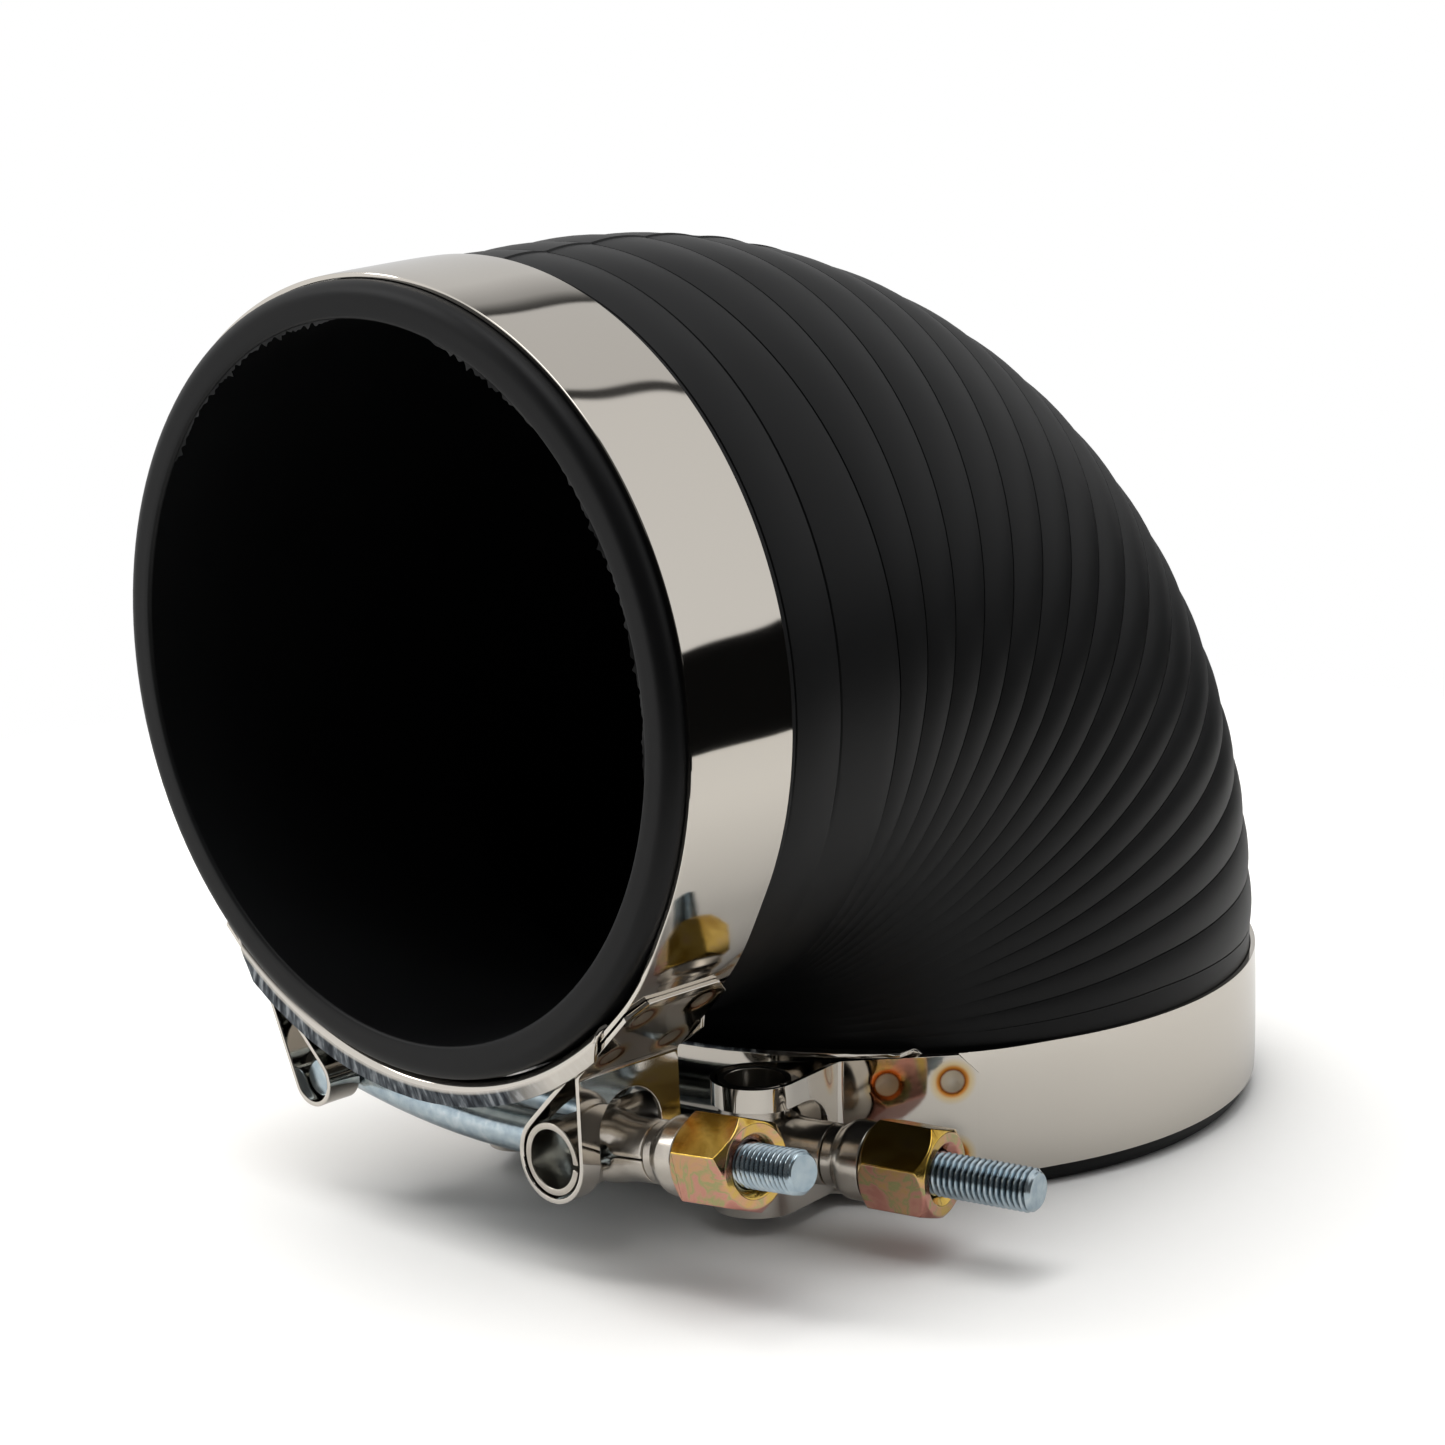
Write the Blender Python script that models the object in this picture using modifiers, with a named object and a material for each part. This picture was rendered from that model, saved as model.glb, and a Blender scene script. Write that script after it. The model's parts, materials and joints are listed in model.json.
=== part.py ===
"""Ninety-degree rubber intake coupler with two T-bolt clamps, modelled at real size in metres, +Z up.

One moulded rubber elbow stands on its lower end. Its other end is a mouth that faces -Y. A stainless
T-bolt clamp sits round each end. The duct frame has its origin where the axes of the two ends cross,
and the whole model is then moved so that the middle of its box's underside lies at the world origin.
"""
import math

import bmesh
import bpy
from mathutils import Matrix, Vector

# Hose, in metres
BORE_RADIUS = 0.0508
HOSE_WALL = 0.0052
INNER_BEND_RADIUS = 0.0013  # the bend's innermost line
FRONT_STRAIGHT = 0.0189     # straight hose between the bend and the band at the mouth
LOWER_STRAIGHT = 0.0011     # and between the bend and the lower band
LIP_LENGTH = 0.0030         # rubber that stands out past a clamp's band
LIP_ROUND = 0.0022
BORE_ROUND = 0.0006
GROOVE_MARGIN = 0.0016      # plain hose between a band's edge and the first groove

# Shallow scallops that run round the outside of the bend
SCALLOP_HEIGHT = 0.0009
SCALLOPS_ON_LEG = 2
SCALLOPS_ON_BEND = 17
SCALLOP_LEAN = math.radians(3.0)        # how far a groove leans towards the bend's middle on its way in
SCALLOP_LEAN_ZERO = math.radians(57.0)  # the groove that does not lean
SCALLOP_FADE_START = math.radians(80.0)
SCALLOP_FADE_END = math.radians(150.0)
SCALLOP_STEPS = 3

# Clamp band
BAND_WIDTH = 0.0190
BAND_THICKNESS = 0.0007
BAND_FOLD_ANGLE = math.radians(48.0)    # end of the folded-back strip, from the middle of the bolt
BAND_LIFT_FULL = math.radians(46.0)     # the band lies over the bridge plate up to here
BAND_LIFT_NONE = math.radians(62.0)     # and back on the hose from here on
FOLD_BEND = 0.0015
FOLD_CHAMFER = 0.0028
CUSP_ANGLE = math.radians(12.0)

# Bridge plate under the gap in the band
PLATE_THICKNESS = 0.0007
PLATE_START = math.radians(-34.0)
PLATE_END = math.radians(36.0)
PLATE_FLANGE_HEIGHT = 0.0030
PLATE_SIDE_PLAY = 0.0003
PLATE_BEND = 0.0006

# T-bolt, a quarter-inch bolt, and the trunnion that it passes through
BOLT_RADIUS = 0.003175
HEAD_RADIUS = 0.00275
HEAD_LENGTH = 0.0156
HEAD_LOOP_RISE = 0.00545    # strip on the hose to the underside of the cross bar's loop
HEAD_PIVOT_ANGLE = math.radians(21.7)
TRUNNION_LOOP_RISE = 0.0053
TRUNNION_PIVOT_ANGLE = math.radians(21.6)
TRUNNION_RADIUS = 0.0052
TRUNNION_WALL = 0.0010
TRUNNION_INSET = 0.0001     # band's edge to the trunnion's end
NECK_RADIUS = 0.0045
NECK_REACH = 0.0127         # trunnion axis to the neck's end
BOLT_DROP = math.radians(4.8)           # the thread's slope towards the hose
SHANK_STRAIGHT = 0.0075     # straight part of the bolt on the head's side of the trunnion
BOLT_REACH = 0.0396         # trunnion axis to the bolt's tip
BOLT_CHAMFER = 0.0006
HEAD_LEG_ANGLE = math.radians(68.0)     # outward normal of the head loop's outer leg
TRUNNION_LEG_ANGLE = math.radians(90.0)
SLOT_WIDTH_TRUNNION = 0.0098
SLOT_WIDTH_HEAD = 0.0074
SLOT_DEPTH_TRUNNION = 0.0085            # from the trunnion's axis back towards the hose
SLOT_DEPTH_HEAD = 0.0060

# Ferrule and nut
FERRULE_LENGTH = 0.0066
FERRULE_RADIUS = 0.0057
FERRULE_THROAT = 0.0016
NUT_ACROSS_FLATS = 0.0124
NUT_LENGTH = 0.0106
NUT_CHAMFER = 0.0012
NUT_MOUTH = 0.0011

# Where each clamp's bolt lies, turned round its end of the hose, how much further than the sizes
# above it is drawn together, and how its nut is turned
FRONT_CLAMP_TURN = math.radians(2.25)
LOWER_CLAMP_TURN = math.radians(9.2)
FRONT_TAKE_UP = 0.0
LOWER_TAKE_UP = 0.0055
FRONT_NUT_TURN = math.radians(9.5)
LOWER_NUT_TURN = math.radians(-17.0)

# Gaps between pieces that touch
CONTACT_GAP = 0.0003
HOSE_GAP = 0.0003

# Facets
RING_SEGMENTS = 48
BAND_STEP = math.radians(4.5)
ROD_SEGMENTS = 16
FINE_STEP = math.radians(20.0)
SHARP_ANGLE = math.radians(35.0)
TUBE_SEGMENTS = 24
CAP_OVERSHOOT = 0.001
FOLD_CUT_LIFT = 0.15        # of a strip's thickness, between the chamfer's cut and the layer below
NUT_CHAMFER_RISE = 0.6      # rise of the nut's chamfer for each metre along it

HOSE_RADIUS = BORE_RADIUS + HOSE_WALL
BEND_RADIUS = HOSE_RADIUS + INNER_BEND_RADIUS
FRONT_LEG = BEND_RADIUS + FRONT_STRAIGHT + BAND_WIDTH + LIP_LENGTH
LOWER_LEG = BEND_RADIUS + LOWER_STRAIGHT + BAND_WIDTH + LIP_LENGTH
BAND_RADIUS = HOSE_RADIUS + HOSE_GAP
PLATE_RADIUS = HOSE_RADIUS + HOSE_GAP
LIFTED_RADIUS = PLATE_RADIUS + PLATE_THICKNESS + CONTACT_GAP
BAND_INSET = LIP_LENGTH + BAND_WIDTH / 2
FRONT_BAND_Y = BAND_INSET - FRONT_LEG
LOWER_BAND_Z = BAND_INSET - LOWER_LEG
LOOP_WALL = CONTACT_GAP + BAND_THICKNESS
TRUNNION_LENGTH = BAND_WIDTH - 2 * TRUNNION_INSET
HEAD_PIVOT_RADIUS = LIFTED_RADIUS + HEAD_LOOP_RISE + LOOP_WALL + HEAD_RADIUS
TRUNNION_PIVOT_RADIUS = LIFTED_RADIUS + TRUNNION_LOOP_RISE + LOOP_WALL + TRUNNION_RADIUS
QUARTER = math.pi / 2


def direction(angle):
    """Unit vector in a clamp's plane, turned by angle from +Y towards +X."""
    return Vector((math.sin(angle), math.cos(angle)))


def arc(centre, radius, start, end, step=BAND_STEP):
    """Points on a circle in a clamp's plane, from one angle to another, both ends included."""
    count = max(2, math.ceil(abs(end - start) / step))
    return [centre + radius * direction(start + (end - start) * i / count) for i in range(count + 1)]


# Colour, roughness and metallic value of each finish
FINISHES = {
    "moulded_rubber": ((0.012, 0.012, 0.013), 0.45, 0.0),
    "polished_stainless": ((0.62, 0.60, 0.57), 0.12, 1.0),
    "rolled_stainless": ((0.55, 0.53, 0.50), 0.2, 1.0),
    "blue_zinc": ((0.62, 0.68, 0.74), 0.25, 1.0),
    "yellow_zinc": ((0.75, 0.60, 0.30), 0.25, 1.0),
}


def material(name, finish):
    """Principled material with a plain colour, for one piece."""
    colour, roughness, metallic = FINISHES[finish]
    made = bpy.data.materials.new(name)
    made.use_nodes = True
    shader = made.node_tree.nodes["Principled BSDF"]
    shader.inputs["Base Color"].default_value = (*colour, 1.0)
    shader.inputs["Roughness"].default_value = roughness
    shader.inputs["Metallic"].default_value = metallic
    return made


def place(name, mesh, collection, parent, finish, matrix=None):
    """Object for a mesh, under a parent, smooth shaded and in its own material."""
    made = bpy.data.objects.new(name, mesh)
    collection.objects.link(made)
    made.parent = parent
    made.matrix_local = matrix or Matrix()
    mesh.materials.clear()
    mesh.materials.append(material(f"{name}_{finish}", finish))
    mesh.shade_smooth()
    mesh.set_sharp_from_angle(angle=SHARP_ANGLE)
    return made


def cylinder(radius, start, end, segments=ROD_SEGMENTS, end_radius=None):
    """Closed cylinder or cone along local Z, from start to end."""
    shape = bmesh.new()
    bmesh.ops.create_cone(shape, cap_ends=True, segments=segments, radius1=radius,
                          radius2=radius if end_radius is None else end_radius, depth=end - start)
    bmesh.ops.translate(shape, verts=shape.verts, vec=(0.0, 0.0, (start + end) / 2))
    mesh = bpy.data.meshes.new("cylinder")
    shape.to_mesh(mesh)
    shape.free()
    return mesh


def box(low, high):
    """Closed box between two corners."""
    shape = bmesh.new()
    bmesh.ops.create_cube(shape, size=1.0)
    low, high = Vector(low), Vector(high)
    bmesh.ops.scale(shape, verts=shape.verts, vec=high - low)
    bmesh.ops.translate(shape, verts=shape.verts, vec=(low + high) / 2)
    mesh = bpy.data.meshes.new("box")
    shape.to_mesh(mesh)
    shape.free()
    return mesh


def turned(name, profile, segments=ROD_SEGMENTS * 2):
    """Mesh of a closed profile of (radius, height) points turned round local Z."""
    mesh = bpy.data.meshes.new(name)
    points = [(radius, 0.0, height) for radius, height in profile]
    mesh.from_pydata(points, [(i, (i + 1) % len(points)) for i in range(len(points))], [])
    source = bpy.data.objects.new(name, mesh)
    screw = source.modifiers.new("turn", "SCREW")
    screw.axis = "Z"
    screw.steps = segments
    screw.render_steps = segments
    screw.use_merge_vertices = True
    screw.merge_threshold = 0.00001
    return evaluated(source)


def evaluated(source):
    """Finished mesh of an object whose modifiers or curve are worked out."""
    bpy.context.scene.collection.objects.link(source)
    bpy.context.view_layer.update()
    result = bpy.data.meshes.new_from_object(source.evaluated_get(bpy.context.evaluated_depsgraph_get()))
    bpy.data.objects.remove(source)
    shape = bmesh.new()
    shape.from_mesh(result)
    bmesh.ops.remove_doubles(shape, verts=shape.verts, dist=0.000001)
    bmesh.ops.recalc_face_normals(shape, faces=shape.faces)
    shape.to_mesh(result)
    shape.free()
    return result


def combine(target, cutters, operation, matrices=None):
    """Mesh of target after a Boolean with each cutter mesh."""
    for index, cutter in enumerate(cutters):
        base = bpy.data.objects.new("base", target)
        tool = bpy.data.objects.new("tool", cutter)
        bpy.context.scene.collection.objects.link(tool)
        if matrices:
            tool.matrix_world = matrices[index]
        change = base.modifiers.new("change", "BOOLEAN")
        change.operation = operation
        change.solver = "EXACT"
        change.object = tool
        target = evaluated(base)
        bpy.data.objects.remove(tool)
    return target


def flat_outline(name, outlines, thickness):
    """Closed plate from outlines in the XY plane, centred on local Z."""
    curve = bpy.data.curves.new(name, "CURVE")
    curve.dimensions = "2D"
    curve.fill_mode = "BOTH"
    curve.extrude = thickness / 2
    for outline in outlines:
        spline = curve.splines.new("POLY")
        spline.points.add(len(outline) - 1)
        for point, place_at in zip(spline.points, outline):
            point.co = (place_at[0], place_at[1], 0.0, 1.0)
        spline.use_cyclic_u = True
    return evaluated(bpy.data.objects.new(name, curve))


def rod(name, path, radius, radii=None, segments=ROD_SEGMENTS):
    """Closed round rod along a list of points."""
    curve = bpy.data.curves.new(name, "CURVE")
    curve.dimensions = "3D"
    curve.bevel_depth = radius
    curve.bevel_resolution = segments // 4 - 1
    curve.use_fill_caps = True
    spline = curve.splines.new("POLY")
    spline.points.add(len(path) - 1)
    for index, (point, place_at) in enumerate(zip(spline.points, path)):
        point.co = (*place_at, 1.0)
        point.radius = radii[index] if radii else 1.0
    return evaluated(bpy.data.objects.new(name, curve))


# The elbow. A station is a distance in metres along the outermost line, 0 where the bend starts.
OUTER_LINE = BEND_RADIUS + HOSE_RADIUS
BEND_LENGTH = OUTER_LINE * QUARTER
MOUTH_STATION = BEND_RADIUS - FRONT_LEG
LOWER_STATION = BEND_LENGTH + LOWER_LEG - BEND_RADIUS
FIRST_GROOVE = MOUTH_STATION + LIP_LENGTH + BAND_WIDTH + GROOVE_MARGIN
LAST_GROOVE = LOWER_STATION - LIP_LENGTH - BAND_WIDTH - GROOVE_MARGIN


def duct_point(station, around, radius):
    """Point on a tube round the duct's centre line; around is 0 on the bend's outermost line."""
    angle = min(max(station, 0.0), BEND_LENGTH) / OUTER_LINE
    outward = Vector((0.0, math.sin(angle), math.cos(angle)))
    centre = Vector((0.0, -BEND_RADIUS, -BEND_RADIUS)) + BEND_RADIUS * outward
    centre.y += min(station, 0.0)
    centre.z -= max(station - BEND_LENGTH, 0.0)
    return centre + radius * (math.cos(around) * outward + math.sin(around) * Vector((1.0, 0.0, 0.0)))


def groove_stations():
    """Stations of the grooves along the outermost line, first to last."""
    on_leg = [FIRST_GROOVE * (1 - i / SCALLOPS_ON_LEG) for i in range(SCALLOPS_ON_LEG)]
    on_bend = [LAST_GROOVE * i / SCALLOPS_ON_BEND for i in range(SCALLOPS_ON_BEND + 1)]
    return on_leg + on_bend


def leaning_station(station, around):
    """Station of a groove at an angle round the duct, after its lean towards the bend's middle."""
    pitch = -FIRST_GROOVE / SCALLOPS_ON_LEG
    ramp = min(1.0, max(0.0, 1.0 + station / pitch))
    lean = SCALLOP_LEAN * math.cos(station / OUTER_LINE * QUARTER / SCALLOP_LEAN_ZERO)
    return station + ramp * lean * OUTER_LINE * (1.0 - math.cos(min(abs(around), QUARTER)))


def scallop_fade(around):
    """Share of a scallop's height that is left at an angle round the duct."""
    share = (SCALLOP_FADE_END - abs(around)) / (SCALLOP_FADE_END - SCALLOP_FADE_START)
    share = min(1.0, max(0.0, share))
    return share * share * (3.0 - 2.0 * share)


def outer_rings():
    """(station, height above the plain hose) along the outside."""
    rings = []
    grooves = groove_stations()
    for start, end in zip(grooves, grooves[1:]):
        for step in range(SCALLOP_STEPS):
            share = step / SCALLOP_STEPS
            rings.append((start + (end - start) * share, SCALLOP_HEIGHT * 4.0 * share * (1.0 - share)))
    rings.append((grooves[-1], 0.0))
    return rings


def lip_profile():
    """(distance from the end face, radius) from the bore round the end to the outside."""
    steps = 3
    points = []
    for i in range(steps):
        angle = QUARTER * i / (steps - 1)
        points.append((BORE_ROUND * (1.0 - math.sin(angle)), BORE_RADIUS + BORE_ROUND * (1.0 - math.cos(angle))))
    for i in range(steps + 1):
        angle = QUARTER * i / steps
        points.append((LIP_ROUND * (1.0 - math.cos(angle)), HOSE_RADIUS - LIP_ROUND * (1.0 - math.sin(angle))))
    return points


def elbow_mesh():
    """Moulded elbow: bore, both lips and the scalloped outside as one closed loft."""
    angles = [2.0 * math.pi * i / RING_SEGMENTS - math.pi for i in range(RING_SEGMENTS)]
    rings = []
    bore_steps = 10
    for i in range(bore_steps + 1):
        rings.append([duct_point(BEND_LENGTH * (1.0 - i / bore_steps), a, BORE_RADIUS) for a in angles])
    for inset, radius in lip_profile():
        rings.append([duct_point(MOUTH_STATION + inset, a, radius) for a in angles])
    for station, height in outer_rings():
        rings.append([duct_point(leaning_station(station, a), a, HOSE_RADIUS + height * scallop_fade(a))
                      for a in angles])
    rings.append([duct_point(LOWER_STATION - LIP_LENGTH - BAND_WIDTH, a, HOSE_RADIUS) for a in angles])
    for inset, radius in reversed(lip_profile()):
        rings.append([duct_point(LOWER_STATION - inset, a, radius) for a in angles])
    points = [point for ring in rings for point in ring]
    faces = []
    for r in range(len(rings)):
        here, there = r * RING_SEGMENTS, (r + 1) % len(rings) * RING_SEGMENTS
        for i in range(RING_SEGMENTS):
            j = (i + 1) % RING_SEGMENTS
            faces.append((here + i, here + j, there + j, there + i))
    mesh = bpy.data.meshes.new("elbow_hose")
    mesh.from_pydata(points, [], faces)
    shape = bmesh.new()
    shape.from_mesh(mesh)
    bmesh.ops.recalc_face_normals(shape, faces=shape.faces)
    shape.to_mesh(mesh)
    shape.free()
    return mesh


# Clamp pieces, in a clamp's own frame: X along the bolt, Y out from the hose, Z across the band.
BOLT_AXIS = Vector((math.cos(BOLT_DROP), -math.sin(BOLT_DROP)))
ALONG_BOLT = Matrix.Rotation(-BOLT_DROP, 4, "Z") @ Matrix.Rotation(QUARTER, 4, "Y")


def trunnion_pivot(take_up):
    """Trunnion's axis, moved round the hose by half of the take-up."""
    return TRUNNION_PIVOT_RADIUS * direction(TRUNNION_PIVOT_ANGLE - take_up / 2 / TRUNNION_PIVOT_RADIUS)


def head_pivot(take_up):
    """Axis of the bolt's cross bar, moved round the hose by half of the take-up."""
    return HEAD_PIVOT_RADIUS * direction(take_up / 2 / HEAD_PIVOT_RADIUS - HEAD_PIVOT_ANGLE)


def band_inner(angle):
    """Radius of the band's inner face at an angle from the middle of the bolt."""
    share = (BAND_LIFT_NONE - angle) / (BAND_LIFT_NONE - BAND_LIFT_FULL)
    share = min(1.0, max(0.0, share))
    return BAND_RADIUS + (LIFTED_RADIUS - BAND_RADIUS) * share * share * (3.0 - 2.0 * share)


def band_arc(offset, start, end):
    """Points along the band, offset outwards from its inner face."""
    count = max(2, math.ceil(abs(end - start) / BAND_STEP))
    angles = [start + (end - start) * i / count for i in range(count + 1)]
    return [(band_inner(a) + offset) * direction(a) for a in angles]


def loop_lines(pivot, pin_radius, leg_angle):
    """Outer boundary and loop hole of one end of the band, for an end on the +X side."""
    t = BAND_THICKNESS
    inner, outer = pin_radius + CONTACT_GAP, pin_radius + LOOP_WALL
    pivot_angle = math.atan2(pivot.x, pivot.y)
    leave = pivot_angle + math.acos((LIFTED_RADIUS + outer) / pivot.length)
    n, m = direction(leave), direction(leg_angle)
    # centre of the bend between the outer leg and the folded-back strip
    from_leg = pivot.dot(m) + outer + FOLD_BEND
    from_ring = LIFTED_RADIUS + 2 * t + FOLD_BEND
    cross = n.x * m.y - n.y * m.x
    bend = Vector(((from_ring * m.y - from_leg * n.y) / cross, (n.x * from_leg - m.x * from_ring) / cross))
    half_turn = math.pi
    boundary = band_arc(t, math.pi, BAND_FOLD_ANGLE)
    boundary += band_arc(2 * t, BAND_FOLD_ANGLE, leave)
    boundary += arc(bend, FOLD_BEND, leave + half_turn, leg_angle + half_turn, FINE_STEP)
    boundary += arc(pivot, outer, leg_angle, leave - half_turn, FINE_STEP)
    boundary += band_arc(0.0, leave, math.pi)
    hole = arc(pivot, inner, leave - half_turn, leg_angle, FINE_STEP)
    hole += arc(bend, FOLD_BEND + t, leg_angle + half_turn, leave + half_turn + CUSP_ANGLE, FINE_STEP)
    tip = hole[-1]
    hole.append(tip - n * (tip.dot(n) - LIFTED_RADIUS - t))
    return boundary, hole


def band_mesh(take_up):
    """Band: one strip round the hose, each end turned back in a slotted loop and laid on itself."""
    trunnion, head = trunnion_pivot(take_up), head_pivot(take_up)
    right, right_hole = loop_lines(trunnion, TRUNNION_RADIUS, TRUNNION_LEG_ANGLE)
    mirrored_head = Vector((-head.x, head.y))
    left, left_hole = loop_lines(mirrored_head, HEAD_RADIUS, HEAD_LEG_ANGLE)
    left = [Vector((-p.x, p.y)) for p in reversed(left)]
    left_hole = [Vector((-p.x, p.y)) for p in left_hole]
    mesh = flat_outline("band", [right[:-1] + left[:-1], right_hole, left_hole], BAND_WIDTH)
    cutters = []
    places = []
    far = LIFTED_RADIUS
    for pivot, width, depth in ((trunnion, SLOT_WIDTH_TRUNNION, SLOT_DEPTH_TRUNNION),
                                (head, SLOT_WIDTH_HEAD, SLOT_DEPTH_HEAD)):
        reach = TRUNNION_RADIUS * 2
        cutters.append(box((-reach, width / 2 - depth, -width / 2), (reach, far / 2, width / 2)))
        cutters.append(cylinder(width / 2, -reach, reach))
        places.append(Matrix.Translation((pivot.x, pivot.y, 0.0)))
        places.append(Matrix.Translation((pivot.x, pivot.y - depth + width / 2, 0.0))
                      @ Matrix.Rotation(QUARTER, 4, "Y"))
    half = BAND_WIDTH / 2
    for side in (1.0, -1.0):
        for edge in (1.0, -1.0):
            foot = band_inner(BAND_FOLD_ANGLE) + (1.0 + FOLD_CUT_LIFT) * BAND_THICKNESS
            foot = foot * direction(side * BAND_FOLD_ANGLE)
            cutters.append(box((-FOLD_CHAMFER, 0.0, -FOLD_CHAMFER),
                               (FOLD_CHAMFER, 4 * BAND_THICKNESS, FOLD_CHAMFER)))
            places.append(Matrix.Translation((foot.x, foot.y, edge * half))
                          @ Matrix.Rotation(-side * BAND_FOLD_ANGLE, 4, "Z")
                          @ Matrix.Rotation(QUARTER / 2, 4, "Y")
                          @ Matrix.Diagonal((math.sqrt(0.5), 1.0, math.sqrt(0.5), 1.0)))
    return combine(mesh, cutters, "DIFFERENCE", places)


def plate_mesh():
    """Bridge plate: a short arc of strip with both side edges turned outwards."""
    width = BAND_WIDTH / 2 + PLATE_SIDE_PLAY + PLATE_THICKNESS
    top = PLATE_RADIUS + PLATE_FLANGE_HEIGHT
    corner = [(PLATE_RADIUS, width - PLATE_BEND), (PLATE_RADIUS + PLATE_BEND, width), (top, width)]
    profile = list(reversed(corner)) + [(radius, -height) for radius, height in corner]
    mesh = bpy.data.meshes.new("plate")
    mesh.from_pydata([(r, 0.0, z) for r, z in profile], [(i, i + 1) for i in range(len(profile) - 1)], [])
    source = bpy.data.objects.new("plate", mesh)
    screw = source.modifiers.new("turn", "SCREW")
    screw.axis = "Z"
    screw.angle = PLATE_END - PLATE_START
    screw.steps = math.ceil((PLATE_END - PLATE_START) / BAND_STEP)
    screw.render_steps = screw.steps
    screw.merge_threshold = 0.00001
    shell = source.modifiers.new("wall", "SOLIDIFY")
    shell.thickness = PLATE_THICKNESS
    shell.offset = 1.0
    shell.use_even_offset = True
    mesh = evaluated(source)
    mesh.transform(Matrix.Rotation(QUARTER - PLATE_END, 4, "Z"))
    return mesh


def bolt_mesh(take_up):
    """T-bolt: cross bar, a gently bowed shank and a straight threaded end."""
    head_at = head_pivot(take_up)
    straight_start = trunnion_pivot(take_up) - SHANK_STRAIGHT * BOLT_AXIS
    chord = straight_start - head_at
    chord_slope = math.atan2(chord.y, chord.x)
    turn = 2.0 * (chord_slope + BOLT_DROP)
    radius = chord.length / (2.0 * math.sin(turn / 2.0))
    steps = 6
    path = []
    for i in range(steps + 1):
        slope = -BOLT_DROP + turn * (1.0 - i / steps)
        step_back = radius * Vector((math.sin(slope) + math.sin(BOLT_DROP), math.cos(BOLT_DROP) - math.cos(slope)))
        path.append(straight_start - step_back)
    tip = trunnion_pivot(take_up) + (BOLT_REACH + take_up) * BOLT_AXIS
    path += [tip - BOLT_CHAMFER * BOLT_AXIS, tip]
    radii = [1.0] * (len(path) - 1) + [1.0 - BOLT_CHAMFER / BOLT_RADIUS]
    shank = rod("shank", [(p.x, p.y, 0.0) for p in path], BOLT_RADIUS, radii)
    head = cylinder(HEAD_RADIUS, -HEAD_LENGTH / 2, HEAD_LENGTH / 2)
    return combine(shank, [head], "UNION", [Matrix.Translation((head_at.x, head_at.y, 0.0))])


def trunnion_mesh():
    """Trunnion: a rolled cross tube with a neck, bored for the bolt. Origin on the tube's axis."""
    half = TRUNNION_LENGTH / 2
    outside = combine(cylinder(TRUNNION_RADIUS, -half, half, TUBE_SEGMENTS),
                      [cylinder(NECK_RADIUS, 0.0, NECK_REACH, ROD_SEGMENTS)], "UNION", [ALONG_BOLT])
    reach = NECK_REACH + CAP_OVERSHOOT
    bores = [cylinder(TRUNNION_RADIUS - TRUNNION_WALL, -half - CAP_OVERSHOOT, half + CAP_OVERSHOOT,
                      TUBE_SEGMENTS),
             cylinder(BOLT_RADIUS + CONTACT_GAP, -reach, reach)]
    return combine(outside, bores, "DIFFERENCE", [Matrix(), ALONG_BOLT])


def ferrule_mesh():
    """Ferrule: a sleeve that flares from the neck's size to the nut's. Origin at its neck end."""
    inner = BOLT_RADIUS + CONTACT_GAP
    steps = 4
    profile = [(NECK_RADIUS, 0.0), (NECK_RADIUS, FERRULE_THROAT)]
    flare = FERRULE_RADIUS - NECK_RADIUS
    for i in range(1, steps + 1):
        share = i / steps
        profile.append((NECK_RADIUS + flare * math.sin(QUARTER * share), FERRULE_THROAT + 2.0 * flare * share))
    profile += [(FERRULE_RADIUS, FERRULE_LENGTH), (inner, FERRULE_LENGTH), (inner, 0.0)]
    return turned("ferrule", profile)


def nut_mesh():
    """Long hex nut, chamfered at both ends, with an opened mouth. Origin at its ferrule end."""
    corner = NUT_ACROSS_FLATS / math.sqrt(3.0)
    flat = NUT_ACROSS_FLATS / 2
    hexagon = cylinder(corner, 0.0, NUT_LENGTH, 6)
    rise = NUT_CHAMFER * NUT_CHAMFER_RISE
    envelope = [(flat - NUT_CHAMFER, -CAP_OVERSHOOT), (flat - NUT_CHAMFER / 2, 0.0), (corner + rise, NUT_CHAMFER),
                (corner + rise, NUT_LENGTH - NUT_CHAMFER), (flat - NUT_CHAMFER / 2, NUT_LENGTH),
                (flat - NUT_CHAMFER, NUT_LENGTH + CAP_OVERSHOOT)]
    bore = BOLT_RADIUS + CONTACT_GAP
    envelope += [(bore + NUT_MOUTH, NUT_LENGTH + CAP_OVERSHOOT), (bore + NUT_MOUTH, NUT_LENGTH),
                 (bore, NUT_LENGTH - NUT_MOUTH), (bore, -CAP_OVERSHOOT)]
    return combine(turned("nut", envelope), [hexagon], "INTERSECT")


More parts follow.
